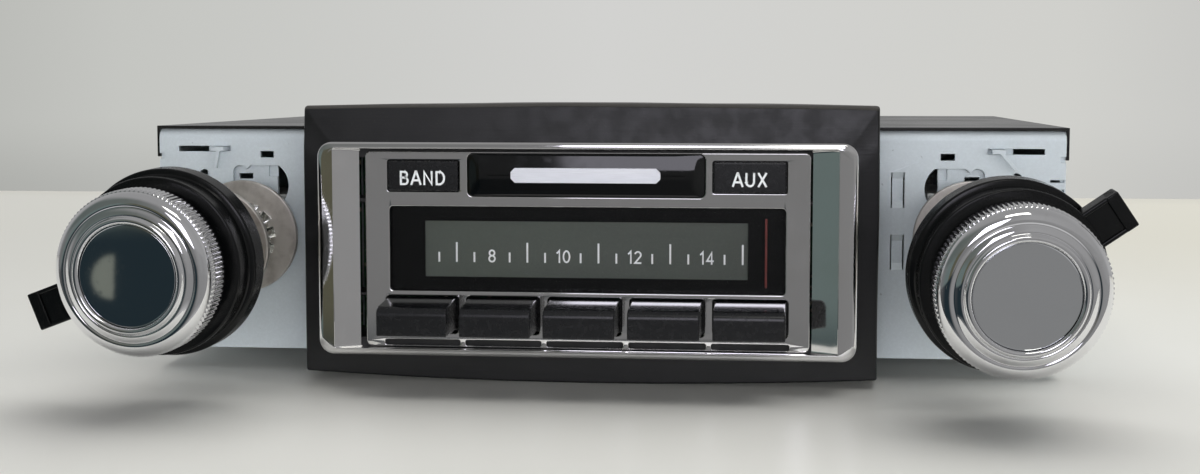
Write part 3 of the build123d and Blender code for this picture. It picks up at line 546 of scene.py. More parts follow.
def inset_loop(box, inset, y, r, corner, side):
    """A rounded rectangle at depth y, smaller than the box by inset on every side."""
    return at_depth(rounded_rect(*grown(box, -inset), r, corner, side), y)


def cut_sheet(outlines, y_front, y_back, edge, resolution=2):
    """A flat plate with holes and rounded edges, from outlines of (x, z) points."""
    curve = bpy.data.curves.new("outline", "CURVE")
    curve.dimensions = "2D"
    curve.fill_mode = "BOTH"
    curve.extrude = ((y_back - y_front) / 2 - edge) * MM
    curve.bevel_depth = edge * MM
    curve.bevel_resolution = resolution
    curve.offset = -edge * MM
    for outline in outlines:
        spline = curve.splines.new("POLY")
        spline.points.add(len(outline) - 1)
        for point, (x, z) in zip(spline.points, outline):
            point.co = (x * MM, z * MM, 0, 1)
        spline.use_cyclic_u = True
    mesh = mesh_from(show("sheet", curve))
    mesh.transform(Matrix.Translation((0, (y_front + y_back) / 2 * MM, 0)) @ UPRIGHT)
    weld(mesh, SEAM)
    return mesh


def mesh_from(stand_in):
    """The final mesh of an object, modifiers and all, and the object removed."""
    bpy.context.view_layer.update()
    ready = stand_in.evaluated_get(bpy.context.evaluated_depsgraph_get())
    mesh = bpy.data.meshes.new_from_object(ready)
    bpy.data.objects.remove(stand_in)
    return mesh


def round_edges(piece, width, segments, angle):
    rounding = piece.modifiers.new("edges", "BEVEL")
    rounding.width = width * MM
    rounding.segments = segments
    rounding.limit_method = "ANGLE"
    rounding.angle_limit = math.radians(angle)


def eased(shape, width, segments=3):
    """A mesh with its sharp edges rounded by width millimetres."""
    stand_in = show("easing", mesh_of(shape))
    round_edges(stand_in, width, segments, 30)
    return mesh_from(stand_in)


def prism(profile, x0, x1):
    """A side profile of (y, z) points drawn out along X."""
    count = len(profile)
    points = [(x, y, z) for x in (x0, x1) for y, z in profile]
    faces = [tuple(range(count)), tuple(range(2 * count - 1, count - 1, -1))]
    for index in range(count):
        after = (index + 1) % count
        faces.append((index, after, count + after, count + index))
    return points, faces


def brick(x0, x1, y0, y1, z0, z1):
    return prism(((y0, z0), (y0, z1), (y1, z1), (y1, z0)), x0, x1)


def bow(cx, cz, rx, rz, start, end, steps=12):
    """Points round part of an ellipse, angles in degrees from the right."""
    turns = [math.radians(start + (end - start) * step / steps) for step in range(steps + 1)]
    return [(cx + rx * math.cos(turn), cz + rz * math.sin(turn)) for turn in turns]


# Plain upright strokes for each character, in a box one unit high: its width, then its strokes.
GLYPHS = {
    "0": (0.6, [bow(0.3, 0.5, 0.24, 0.44, 90, 450, 24)]),
    "1": (0.5, [[(0.1, 0.76), (0.2, 0.82), (0.32, 0.98), (0.32, 0.0)]]),
    "2": (0.6, [bow(0.29, 0.7, 0.23, 0.24, 165, -30) + [(0.06, 0.06), (0.56, 0.06)]]),
    "4": (0.6, [[(0.58, 0.27), (0.05, 0.27), (0.42, 0.94), (0.42, 0.0)]]),
    "8": (0.6, [bow(0.3, 0.73, 0.2, 0.21, 90, 450, 20), bow(0.3, 0.28, 0.23, 0.235, 90, 450, 20)]),
    "A": (0.74, [[(0.02, 0.0), (0.35, 0.97), (0.39, 0.97), (0.72, 0.0)], [(0.16, 0.33), (0.58, 0.33)]]),
    "B": (0.66, [[(0.08, 0.52), (0.38, 0.52)] + bow(0.38, 0.29, 0.2, 0.23, 90, -90)
                 + [(0.08, 0.06), (0.08, 0.94), (0.35, 0.94)] + bow(0.35, 0.73, 0.18, 0.21, 90, -90)]),
    "N": (0.74, [[(0.08, 0.0), (0.08, 0.94), (0.62, 0.06), (0.62, 1.0)]]),
    "D": (0.72, [[(0.3, 0.06), (0.08, 0.06), (0.08, 0.94), (0.3, 0.94)]
                 + bow(0.3, 0.5, 0.33, 0.44, 90, -90)]),
    "U": (0.72, [[(0.08, 1.0), (0.08, 0.35)] + bow(0.35, 0.35, 0.27, 0.29, 180, 360) + [(0.62, 1.0)]]),
    "X": (0.68, [[(0.04, 0.0), (0.62, 1.0)], [(0.04, 1.0), (0.62, 0.0)]]),
}


def stroke_part(line, width, y0, y1):
    """A ribbon of the given width along a line of (x, z) points, mitred at its bends."""
    closed = (Vector(line[0]) - Vector(line[-1])).length < 1e-6
    path = [Vector(point) for point in (line[:-1] if closed else line)]
    count = len(path)
    edges = []
    for index, point in enumerate(path):
        before = path[index - 1] if closed or index else point * 2 - path[1]
        after = path[(index + 1) % count] if closed or index < count - 1 else point * 2 - path[-2]
        one, two = (point - before).normalized(), (after - point).normalized()
        across = Vector((-one.y - two.y, one.x + two.x)).normalized()
        reach = width / 2 / max(0.45, across.dot(Vector((-one.y, one.x))))
        edges.append((point + across * reach, point - across * reach))
    points = []
    for left, right in edges:
        points += [(left.x, y0, left.y), (right.x, y0, right.y), (right.x, y1, right.y), (left.x, y1, left.y)]
    faces = []
    for index in range(count if closed else count - 1):
        a, b = 4 * index, 4 * ((index + 1) % count)
        faces += [(a + k, b + k, b + (k + 1) % 4, a + (k + 1) % 4) for k in range(4)]
    if not closed:
        last = 4 * (count - 1)
        faces += [(0, 1, 2, 3), (last + 3, last + 2, last + 1, last)]
    return points, faces


def lettering(text, height, x, z, y0, y1, width, gap):
    """Raised print on a face that looks along -Y: text centred on (x, z)."""
    advance = [GLYPHS[letter][0] + gap for letter in text]
    left = x - height * (sum(advance) - gap) / 2
    meshes = []
    for letter, step in zip(text, advance):
        for number, line in enumerate(GLYPHS[letter][1]):
            placed_line = [(left + px * height, z + (pz - 0.5) * height) for px, pz in line]
            meshes.append(mesh_of(stroke_part(placed_line, width * height, y0 - 0.003 * number, y1)))
        left += step * height
    return merged(meshes)


def merged(meshes):
    """Several meshes as one."""
    work = bmesh.new()
    for mesh in meshes:
        work.from_mesh(mesh)
    whole = bpy.data.meshes.new("merged")
    work.to_mesh(whole)
    work.free()
    return whole


# ---- CAD nodes that stay, with eased edges ----

def keep(node, finish_name, width):
    """Show a CAD node with its own finish and its edges rounded by width millimetres."""
    piece = NODES[node]
    piece.data.materials.clear()
    piece.data.materials.append(FINISHES[finish_name].material)
    close = piece.modifiers.new("close_seams", "WELD")
    close.merge_threshold = SEAM
    round_edges(piece, width, 2, 35)
    even_normals(piece)


KEPT = (
    ("front_plate", "zinc_steel", 0.12),
    ("bottom_tray", "zinc_steel", 0.12),
    ("top_cover", "black_lid", 0.15),
    ("heat_sink", "sink_aluminium", 0.2),
    ("nosepiece", "black_housing", 0.2),
    ("backlight", "light_guide", 0.15),
    ("switch_board", "circuit_board", 0.1),
    ("tact_switches", "switch_black", 0.12),
    ("main_board", "circuit_board", 0.1),
    ("board_standoffs", "nickel_steel", 0.15),
    ("tuner_module", "tin_plate", 0.2),
    ("amplifier_chip", "chip_black", 0.15),
    ("filter_capacitors", "capacitor_sleeve", 0.4),
    ("ribbon_cable", "ribbon_grey", 0.1),
    ("harness_socket", "socket_plastic", 0.3),
    ("antenna_socket", "nickel_steel", 0.25),
)
for node, finish_name, width in KEPT:
    keep(node, finish_name, width)
for side in ("left", "right"):
    keep(side + "_slide_plate", "zinc_steel", 0.12)
    keep(side + "_control_body", "tin_plate", 0.3)
    keep(side + "_outer_shaft", "shaft_aluminium", 0.12)
    keep(side + "_inner_shaft", "shaft_aluminium", 0.15)


# ---- nose: gasket, bezel, dial ----

GASKET = span("gasket")
BEZEL = span("bezel")
PLATE_FRONT = GASKET[3]
FIT = 0.15
HOLE = grown(face(span("nosepiece")), FIT)
TOP_LEAN = 0.12
TOP_BOW, BOTTOM_BOW = 0.6, 1.5


def gasket():
    """The rubber block round the nose, bowed above and below, its top band leaning back a little."""
    x0, x1, y0, y1, z0, z1 = GASKET
    middle, half = (x0 + x1) / 2, (x1 - x0) / 2
    level = (BEZEL[4] + BEZEL[5]) / 2

    def outline(shrink, brow, depth):
        points = []
        edge = rounded_rect(x0 + shrink, x1 - shrink, z0 + BOTTOM_BOW + shrink, z1 - TOP_BOW - brow,
                            0.45, 5, 44)
        for x, z in edge:
            share = max(0.0, 1 - ((x - middle) / half) ** 2)
            ripple = smooth_noise.noise(Vector((x * 0.06, z * 0.05, depth * 0.1 + 3)))
            if z > level:
                z += TOP_BOW * share + 0.14 * ripple - 0.14
            else:
                z -= BOTTOM_BOW * share
            if abs(x - middle) > half - 1.5:
                x += 0.12 * ripple * (-1 if x > middle else 1)
            points.append((x, z))
        return points

    hole = rounded_rect(*HOLE, 0.4, 5, 44)
    levels = [(0.35, 0.35, y1), (0.0, 0.0, y1 - 0.5), (0.0, 0.0, (y0 + y1) / 2), (0.0, 0.0, y0 + 1.5),
              (0.0, 0.12, y0 + 0.95), (0.06, 0.38, y0 + 0.5), (0.2, 0.62, y0 + 0.2), (0.45, 0.85, y0)]
    loops = [at_depth(outline(shrink, brow, y), y) for shrink, brow, y in levels]
    for loop in loops[-5:]:
        loop[:] = [(x, y + TOP_LEAN * max(0.0, z - HOLE[3]), z) for x, y, z in loop]
    loops.append(at_depth(hole, y0))
    loops.append(at_depth(hole, y1))
    return ring_of_loops(loops)


add_piece("gasket_sleeve", gasket(), "gasket_rubber", "gasket", sharp=50)

# The bezel's pocket and dial plate, as x0, x1, z0, z1.
LENS = span("dial_lens")
EMBLEM = span("emblem_window")
DIAL_BACK_Y = LENS[2]
DIAL_Y = DIAL_BACK_Y - 1.0
POCKET_RIM = (-48.4, 45.9, 3.2, 40.9)
POCKET = (-43.75, 41.2, 3.3, 40.6)
PLATE = (-42.65, 40.85, 3.42, 40.25)
OUTER_R = 2.8
LCD_WINDOW = (LENS[0] + 0.8, LENS[1] - 0.8, LENS[4] + 0.4, LENS[5] - 0.4)
EMBLEM_WINDOW = grown(face(EMBLEM), 0.1)
PRESET_NODES = ["preset_button_" + str(number) for number in range(1, 6)]


def button_windows():
    """The plate's openings for the buttons, a little larger than each cap."""
    windows = []
    for node in ("band_button", "aux_button"):
        x0, x1, _, _, z0, z1 = span(node)
        windows.append((x0 + 0.35, x1 - 0.35, z0 + 0.25, z1 - 0.25, 0.4))
    for node in PRESET_NODES:
        x0, x1, _, _, z0, z1 = span(node)
        windows.append((x0 + 0.25, x1 - 0.25, z0 - 0.4, z1 + 0.3, 0.7))
    return windows


def bezel_rim():
    """The cast rim: soft outer edge, slightly domed face, mirror slopes down into the pocket."""
    y0, y1 = BEZEL[2:4]
    rounding, dome, lip = 0.62, 0.2, 0.12
    lip_end = math.radians(70)

    def outer(shrink, y):
        return inset_loop(face(BEZEL), shrink, y, OUTER_R - shrink * 0.5, 10, 16)

    def inner(box, y, r, grow=0.0):
        return inset_loop(box, -grow, y, r, 10, 16)

    loops = [outer(0.15, y1), outer(0.0, y1 - 0.15)]
    for step in range(8):
        turn = math.radians(84 * step / 7)
        loops.append(outer(rounding * (1 - math.cos(turn)), y0 + dome + rounding * (1 - math.sin(turn))))
    loops += [outer(0.75, y0 + dome * 0.75), outer(0.95, y0 + dome * 0.6)]
    for step in range(4):
        turn = lip_end * step / 3
        loops.append(inner(POCKET_RIM, y0 + lip * (1 - math.cos(turn)), 0.35, lip * (1 - math.sin(turn))))
    start = y0 + lip * (1 - math.cos(lip_end))
    for share in (0.25, 0.5, 0.75, 1.0):
        box = [a + (b - a) * share for a, b in zip(POCKET_RIM, POCKET)]
        loops.append(inner(box, start + (DIAL_Y - start) * share, 0.35 + 0.1 * share))
    ledge = DIAL_BACK_Y + 0.6
    loops += [inner(POCKET, ledge, 0.45), inner(HOLE, ledge, 0.45), inner(HOLE, y1, 0.45)]
    return ring_of_loops(loops)


add_piece("bezel_rim", bezel_rim(), "bezel_chrome", "bezel", sharp=40)

plate_outlines = [rounded_rect(*PLATE, 1.0, 8, 1),
                  rounded_rect(*LCD_WINDOW, 0.75, 6, 1),
                  rounded_rect(*EMBLEM_WINDOW, 1.1, 6, 1)]
plate_outlines += [rounded_rect(*window, 4, 1) for window in button_windows()]
SLOT_HALF, SLOT_Z = 7.2, (3.72, 4.72)
for node in PRESET_NODES:
    x = centre(node)[0]
    plate_outlines.append(rounded_rect(x - SLOT_HALF, x + SLOT_HALF, *SLOT_Z, 0.42, 4, 1))
dial_plate = cut_sheet(plate_outlines, DIAL_Y, DIAL_BACK_Y, 0.2, 3)
add_piece("dial_plate", dial_plate, "bezel_chrome", "bezel", sharp=50)

# Dial: a black mask with the display behind it, marks on the display, a lens over all.
MODULE = span("lcd_module")
ACTIVE = (-31.65, 29.35, 16.55, 27.15)
MASK_Y = MODULE[2]
PANEL_Y = MASK_Y + 0.5
mask = cut_sheet([rounded_rect(*face(MODULE), 0.4, 4, 1), rounded_rect(*ACTIVE, 0.12, 3, 1)],
                 MASK_Y, PANEL_Y, 0.04, 1)
add_piece("dial_mask", mask, "lcd_border", "lcd_module")
panel = eased(brick(MODULE[0], MODULE[1], PANEL_Y, *MODULE[3:]), 0.1, 2)
add_piece("dial_panel", panel, "lcd_face", "lcd_module")


def dial_marks():
    """Short, tall, short strokes between the numbers 8 to 14."""
    front, back = PANEL_Y - 0.04, PANEL_Y + 0.02
    first, pitch, base = -29.03, 3.376, 19.33
    short, tall = 1.87, 3.75
    strokes, numbers = [], []
    for index in range(18):
        x = first + index * pitch
        if index % 4 == 3:
            text = str(8 + 2 * (index // 4))
            numbers.append(lettering(text, 2.4, x, base + 1.2, front, back, 0.13, 0.08))
        else:
            top = base + (tall if index % 4 == 1 else short)
            strokes.append(brick(x - 0.17, x + 0.17, front, back, base, top))
    return merged([mesh_of(joined(strokes))] + numbers)


add_piece("dial_marks", dial_marks(), "dial_print", "lcd_module")

y0, y1 = LENS[2:4]
lens_loops = [inset_loop(face(LENS), inset, y, 0.4, 4, 8)
              for inset, y in ((0.1, y0), (0.0, y0 + 0.1), (0.0, y1 - 0.1), (0.1, y1))]
add_piece("dial_glass", stack_of_loops(lens_loops), "lens_clear", "dial_lens")
x0, x1, y0, y1, z0, z1 = span("dial_pointer")
needle = eased(brick(x0, x1, y0 + 0.02, y1 - 0.02, z0, z1), 0.08, 2)
add_piece("dial_needle", needle, "pointer_red", "dial_pointer")

# Emblem: a gloss strip with an arched middle, and a plain bar on it.
DOME = 0.5


def domed(loop):
    """Lift a loop of the strip's face onto its shallow arch, which dies away at both ends."""
    x0, x1, _, _, z0, z1 = EMBLEM
    middle, half, lifted = (z0 + z1) / 2, (z1 - z0) / 2, []
    for x, y, z in loop:
        end = min(1.0, (min(x - x0, x1 - x) - 0.3) / 2.0)
        rise = DOME * (1 - ((z - middle) / half) ** 2) * math.sin(math.pi / 2 * end)
        lifted.append((x, y - rise, z))
    return lifted


def emblem_loop(inset, y, r=1.0):
    return inset_loop(face(EMBLEM), inset, y, r, 8, 10)


y0, y1 = EMBLEM[2:4]
strip_loops = [emblem_loop(0, y1), emblem_loop(0, y0 + 0.12), emblem_loop(0.1, y0)]
for inset in (0.35, 0.6, 0.9, 1.3, 1.8, 2.3, 2.8, 3.3, 3.7):
    strip_loops.append(domed(emblem_loop(inset, y0, min(1.0, 4.0 - inset))))
add_piece("emblem_strip", stack_of_loops(strip_loops), "emblem_gloss", "emblem_window")
x0, x1, y0, y1, z0, z1 = span("emblem_bar")
bar_edge = [(x0 + 0.8, z0), (x1 - 0.8, z0), (x1, z0 + 0.8), (x1, z1 - 0.8), (x1 - 0.8, z1), (x0 + 0.8, z1),
            (x0, z1 - 0.8), (x0, z0 + 0.8)]
bar = cut_sheet([bar_edge], y0 - DOME, y1 - DOME + 0.05, 0.1)
add_piece("emblem_plain_bar", bar, "emblem_silver", "emblem_bar")


# ---- buttons ----

LIP_Y = DIAL_BACK_Y + 0.1
LIP_T = 0.8


def stem(node, z0, z1):
    """The button's stem, which reaches back to its switch."""
    middle = centre(node)[0]
    return eased(brick(middle - 3, middle + 3, LIP_Y + LIP_T, span(node)[3], z0, z1), 0.15, 2)


def preset_cap(node):
    """A wedge-topped cap with a broad soft edge along its top front."""
    x0, x1, y0, _, z0, z1 = span(node)
    base, side = z0 + 0.3, 0.6
    front_top, back_top = base + 5.25, base + 6.1
    profile = ((y0, base), (y0, front_top), (DIAL_Y - 0.4, back_top), (LIP_Y, back_top), (LIP_Y, base))
    cap = mesh_of(prism(profile, x0 + side, x1 - side))
    work = bmesh.new()
    work.from_mesh(cap)

    def on_brow(point):
        return abs(point.co.y / MM - y0) < 0.01 and abs(point.co.z / MM - front_top) < 0.01

    brow = [edge for edge in work.edges if all(on_brow(point) for point in edge.verts)]
    bmesh.ops.bevel(work, geom=brow, offset=1.6 * MM, segments=8, affect="EDGES", profile=0.5)
    around = [edge for edge in work.edges if edge.calc_face_angle(0) > math.radians(35)]
    bmesh.ops.bevel(work, geom=around, offset=0.26 * MM, segments=3, affect="EDGES", profile=0.5)
    work.to_mesh(cap)
    work.free()
    lip = eased(brick(x0, x1, LIP_Y, LIP_Y + LIP_T, z0, z1 - 0.1), 0.1, 2)
    return merged([cap, lip, stem(node, base + 0.3, base + 3.3)])


for number, node in enumerate(PRESET_NODES, start=1):
    add_piece(f"preset_cap_{number}", preset_cap(node), "button_charcoal", node, f"preset_{number}")


def function_cap(node):
    """A flat cap with soft edges, for BAND and AUX."""
    x0, x1, y0, _, z0, z1 = span(node)
    cap = eased(brick(x0 + 0.5, x1 - 0.5, y0, LIP_Y, z0 + 0.4, z1 - 0.4), 0.28, 4)
    lip = eased(brick(x0, x1, LIP_Y, LIP_Y + LIP_T, z0, z1), 0.1, 2)
    level = centre(node)[2]
    return merged([cap, lip, stem(node, level - 1.5, level + 1.5)])


for body in ("band", "aux"):
    node = body + "_button"
    x, _, z = centre(node)
    cap_face = span(node)[2]
    add_piece(body + "_cap", function_cap(node), "button_charcoal", node, body)
    word = lettering(body.upper(), 2.6, x, z - 0.4, cap_face - 0.04, cap_face + 0.02, 0.15, 0.16)
    add_piece(body + "_word", word, "dial_print", body=body)


# ---- screws ----

HEAD_R, HEAD_T, SHANK_R = 2.8, 1.6, 1.5


def screw_mesh(length):
    """A pan-head screw with a cross recess, head at z 0 and up, shank down."""
    profile = [(0.02, HEAD_T)] + [(HEAD_R * r, HEAD_T * s) for r, s in
                                  ((0.5, 0.97), (0.8, 0.8), (0.96, 0.45), (1.0, 0.12), (0.98, 0.0))]
    profile.append((SHANK_R, 0.0))
    steps = max(4, int(length / 0.15))
    for step in range(steps + 1):
        s = -length * step / steps
        profile.append((SHANK_R * (0.86 + 0.14 * abs(((s / 0.6) % 1) * 2 - 1)), s))
    profile.append((0.02, -length - 0.2))
    body = show("screw", mesh_of(turned(profile, 36)))
    cutters = []
    for turn in (0, 1):
        slot = brick(-HEAD_R * 0.62, HEAD_R * 0.62, -0.28, 0.28, HEAD_T * 0.35, HEAD_T + 1)
        cutter = show("cut", mesh_of(slot))
        cutter.matrix_world = Matrix.Rotation(turn * math.pi / 2, 4, "Z")
        recess = body.modifiers.new("recess" + str(turn), "BOOLEAN")
        recess.operation = "DIFFERENCE"
        recess.solver = "EXACT"
        recess.object = cutter
        cutters.append(cutter)
    done = mesh_from(body)
    for cutter in cutters:
        bpy.data.objects.remove(cutter)
    return done


def screws(name, places, axis, length, node):
    """Copies of one screw, placed by their heads' seats; axis is the way the heads point."""
    one = screw_mesh(length)
    aim = Vector(axis).to_track_quat("Z", "Y").to_matrix().to_4x4()
    copies = []
    for number, place in enumerate(places):
        copy = one.copy()
        spin = Matrix.Rotation(0.9 * number + 0.3, 4, "Z")
        copy.transform(Matrix.Translation(Vector(place) * MM) @ aim @ spin)
        copies.append(copy)
    add_piece(name, merged(copies), "screw_steel", node)


def centres(low, high):
    """The first and last screw's centre between the outer edges of their heads."""
    return low + HEAD_R, high - HEAD_R


box = span("heat_sink_screws")
seat = box[3] - HEAD_T
places = [(x, seat, z) for x in centres(*box[:2]) for z in centres(*box[4:])]
screws("sink_screws", places, (0, 1, 0), seat - box[2] - 0.3, "heat_sink_screws")
box = span("cover_screws")
for side, x, way in (("left", box[0] + HEAD_T, -1), ("right", box[1] - HEAD_T, 1)):
    places = [(x, y, box[4] + HEAD_R) for y in centres(*box[2:4])]
    screws("lid_screws_" + side, places, (way, 0, 0), 4.7, "cover_screws")
box = span("board_screws")
seat = box[5] - HEAD_T
places = [(x, y, seat) for x in centres(*box[:2]) for y in centres(*box[2:4])]
screws("board_fixing_screws", places, (0, 0, 1), seat - box[4] - 0.3, "board_screws")


# ---- rear fittings ----

def thread(radius, depth, s0, s1):
    """Profile rows for a threaded cylinder, and the shape that gives them a helix."""
    pitch = 0.8
    rows = int((s1 - s0) / pitch * 8)
    profile = [(radius, s0 + (s1 - s0) * row / rows) for row in range(rows + 1)]

    def shape(angle, r, s):
        ends = min(1.0, (s - s0) / pitch, (s1 - s) / pitch)
        wave = abs((((s / pitch) - angle / (2 * math.pi)) % 1) * 2 - 1)
        return r - depth * max(0.0, ends) * (1 - wave) - depth * 0.5 * (1 - max(0.0, ends))
    return profile, shape


def hexed(angle, r, flat):
    """A radius cut back to a hexagon's sides."""
    corner = math.radians(60)
    return min(r, flat / math.cos((angle + corner / 2) % corner - corner / 2))


def stud_part():
    """The threaded stud and its hexagon inside the wall; heights are outwards from the wall's face."""
    rows, helix = thread(STUD_R, 0.3, 0.3, STUD_LENGTH - 0.4)
    profile = [(0.02, -4.5), (STUD_FLAT * 1.1, -4.5), (STUD_FLAT * 1.16, -4.2), (STUD_FLAT * 1.16, -1.05),
               (NECK_R, -1.05), (NECK_R, 0.0), (STUD_R, 0.0)]
    first = len(profile)
    profile += rows + [(STUD_R - 0.5, STUD_LENGTH), (0.02, STUD_LENGTH)]

    def shape(index, angle, r, s):
        if 1 <= index <= 3:
            return hexed(angle, r, STUD_FLAT), s
        return (helix(angle, r, s), s) if first <= index < first + len(rows) else (r, s)
    return turned(profile, 72, shape)


_, _, _, stud_end, z0, z1 = span("rear_stud")
WALL_BACK = span("bottom_tray")[3]
STUD_R, NECK_R = 2.5, 3.0
STUD_LENGTH, STUD_FLAT = stud_end - WALL_BACK, (z1 - z0) / 2
x, _, z = centre("rear_stud")
seat = Matrix.Translation((x, WALL_BACK, z)) @ Matrix.Rotation(-math.pi / 2, 4, "X")
add_piece("mounting_stud", placed(stud_part(), seat), "nickel_steel", "rear_stud")

pins = []
x0, x1, y0, y1, z0, z1 = span("harness_pins")
for row_z in (z0 + 0.5, z1 - 0.5):
    for column in range(8):
        x = x0 + 0.5 + column * (x1 - x0 - 1.0) / 7
        outline = [(y0, row_z - 0.5), (y0, row_z + 0.5), (y1 - 1.0, row_z + 0.5), (y1, row_z + 0.15),
                   (y1, row_z - 0.15), (y1 - 1.0, row_z - 0.5)]
        pins.append(prism(outline, x - 0.5, x + 0.5))
add_piece("socket_pins", eased(joined(pins), 0.08, 1), "pin_brass", "harness_pins")

x0, x1, y0, y1, z0, z1 = span("blade_fuse")
fuse_parts = [brick(x0, x1, y0, y1 - 0.8, z0 + 0.5, z1 - 0.5),
              brick(x0 + 1.5, x1 - 1.5, y1 - 0.9, y1, z0, z1),
              brick(x0, x1, y1 - 2.6, y1 - 0.6, z0, z1)]
add_piece("fuse_body", eased(joined(fuse_parts), 0.25, 2), "fuse_amber", "blade_fuse")


# ---- controls ----
# Heights are along a control's own axis, from the face of the chassis outwards.

# Each lever's angle in degrees at rest, and how far its tip is from the axis.
TABS = {"left": (200.5, 25.4), "right": (35.0, 22.4)}
WASHER_R, WASHER_T = 11.1, 1.2
WASHER_SPAN, NUT_SPAN, SLEEVE_SPAN = (12.8, 14.0), (14.2, 16.8), (17.2, 29.5)
BUSHING_R, BUSHING_BORE_R, BUSHING_END = 4.76, 3.12, 19.0
RING_BORE_R, RING_BACK, RING_FRONT = 3.1, 30.0, 41.2
KNOB_R, KNOB_BORE_R, KNOB_BACK, DISC_SEAT = 14.7, 2.06, 41.8, 49.4
FLUTES, FLUTE_DEPTH, BEAD_DEPTH = 108, 0.26, 0.12


def control_matrix(side):
    """The control's own frame: z out along the shafts, x to the viewer's right."""
    joint = JOINTS[side + "_knob_turn"]
    axis = Vector(joint["axis"]).normalized()
    across = Vector((0, 0, 1)).cross(axis).normalized()
    turn = Matrix((across, axis.cross(across), axis)).transposed().to_4x4()
    return Matrix.Translation(Vector(joint["pos_m"]) / MM) @ turn


def arc(centre_r, centre_s, radius, start, end, steps):
    """Profile points round part of a circle, angles in degrees from the outward radius."""
    return bow(centre_r, centre_s, radius, radius, start, end, steps)


def tube(r_out, r_in, s0, s1, edge, segments=128):
    """A washer or tube with rounded edges."""
    profile = (arc(r_out - edge, s0 + edge, edge, -90, 0, 4) + arc(r_out - edge, s1 - edge, edge, 0, 90, 4)
               + [(r_in + edge, s1), (r_in, s1 - edge), (r_in, s0 + edge), (r_in + edge, s0)])
    return turned(profile, segments)


def knob_part():
    """Down the knob: back, fluted band, bead, shoulder, groove, rim round the disc."""
    back = [(KNOB_BORE_R, KNOB_BACK), (13.4, KNOB_BACK), (13.9, 41.9), (14.2, 42.15)]
    fluted = [(KNOB_R - 0.2, 42.4), (KNOB_R, 42.6)]
    fluted += [(KNOB_R, 42.6 + 4.0 * step / 6) for step in range(1, 7)]
    fluted += [(KNOB_R - 0.03, 46.75)]
    bead = [(KNOB_R - 0.28, 46.9), (KNOB_R - 0.1, 47.02), (KNOB_R - 0.03, 47.2), (KNOB_R - 0.12, 47.38)]
    front = [(KNOB_R - 0.5, 47.5), (KNOB_R - 0.5, 47.62), (KNOB_R - 0.36, 47.7),
             (14.32, 47.85), (14.2, 48.2), (13.95, 48.56), (13.58, 48.88), (13.12, 49.14), (12.66, 49.3),
             (12.3, 49.36), (12.08, 49.32), (11.96, 49.24), (11.8, 49.25), (11.62, 49.36), (11.3, 49.56),
             (10.95, 49.73), (10.7, 49.82), (10.54, 49.82), (10.42, 49.76), (10.3, 49.84), (10.18, 50.1),
             (10.02, 50.34), (9.78, 50.46), (9.5, 50.46), (9.26, 50.36), (9.1, 50.16), (9.0, 49.9),
             (8.97, 49.45), (8.97, DISC_SEAT), (KNOB_BORE_R, DISC_SEAT)]
    first_flute, first_bead = len(back), len(back) + len(fluted)
    after_bead = first_bead + len(bead)

    def shape(index, angle, r, s):
        wave = 0.5 + 0.5 * math.cos(angle * FLUTES)
        if first_flute <= index < first_bead:
            return r - FLUTE_DEPTH * (1 - wave ** 0.45), s
        if first_bead <= index < after_bead:
            return r - BEAD_DEPTH * (1 - wave), s
        return r, s
    return turned(back + fluted + bead + front, FLUTES * 6, shape)


def disc_part():
    """The cap in the knob's centre, very slightly dished."""
    dish, top, under, radius = 0.05, 50.02, DISC_SEAT + 0.01, 8.88
    profile = [(0.02, top + dish)]
    for share in (0.2, 0.4, 0.6, 0.75, 0.88, 0.95):
        profile.append((radius * share, top + dish * (1 - share ** 2)))
    profile += [(radius - 0.12, top), (radius, top - 0.1), (radius, under), (0.02, under)]
    return turned(profile, 128)


def ring_part():
    """The lever ring: a broad flange behind a narrower hub, both with soft edges."""
    profile = [(RING_BORE_R, RING_BACK)]
    profile += arc(16.3, 30.7, 0.7, -90, 0, 5)
    profile += arc(16.5, 34.1, 0.5, 0, 70, 4)
    profile += [(16.1, 34.66), (15.85, 34.9)]
    profile += arc(15.6, 38.95, 0.4, 0, 90, 4)
    profile += [(13.3, 39.4), (12.9, 39.6), (12.6, 41.0), (12.4, RING_FRONT), (RING_BORE_R, RING_FRONT)]
    return turned(profile, 160)


def lever_tab(angle, reach):
    """The lever: a rounded bar with a raised lip at its end and a shallow tray in its face."""
    half, s0, s1, inner = 3.45, 35.4, 39.2, 13.6
    bar = brick(inner, reach - 0.1, s0, s1 - 0.35, -half, half)
    edge_a = brick(inner, reach - 1.0, s1 - 0.5, s1 + 0.05, half - 0.8, half)
    edge_b = brick(inner, reach - 1.0, s1 - 0.5, s1 + 0.05, -half, -half + 0.8)
    lip = brick(reach - 2.3, reach, s0 + 0.2, s1 + 0.2, -half, half)
    swap = Matrix(((1, 0, 0, 0), (0, 0, 1, 0), (0, 1, 0, 0), (0, 0, 0, 1)))
    turn = Matrix.Rotation(math.radians(angle), 4, "Z")
    return placed(joined([bar, edge_a, edge_b, lip]), turn @ swap)


def star_part():
    """A lock washer: a thin ring with twisted teeth round it."""
    teeth, share = 12, 0.62
    profile = [(5.4, -0.3), (6.0, -0.3), (6.9, -0.3), (6.9, 0.3), (6.0, 0.3), (5.4, 0.3)]

    def shape(index, angle, r, s):
        phase = (angle * teeth / (2 * math.pi)) % 1
        tooth = phase < share
        if index in (2, 3):
            return (r if tooth else 6.02), s * 0.8 + ((phase / share - 0.5) * 0.85 if tooth else 0.0)
        if index in (1, 4):
            return r, s * 0.8 + ((phase / share - 0.5) * 0.3 if tooth else 0.0)
        return r, s
    return turned(profile, teeth * 16, shape)


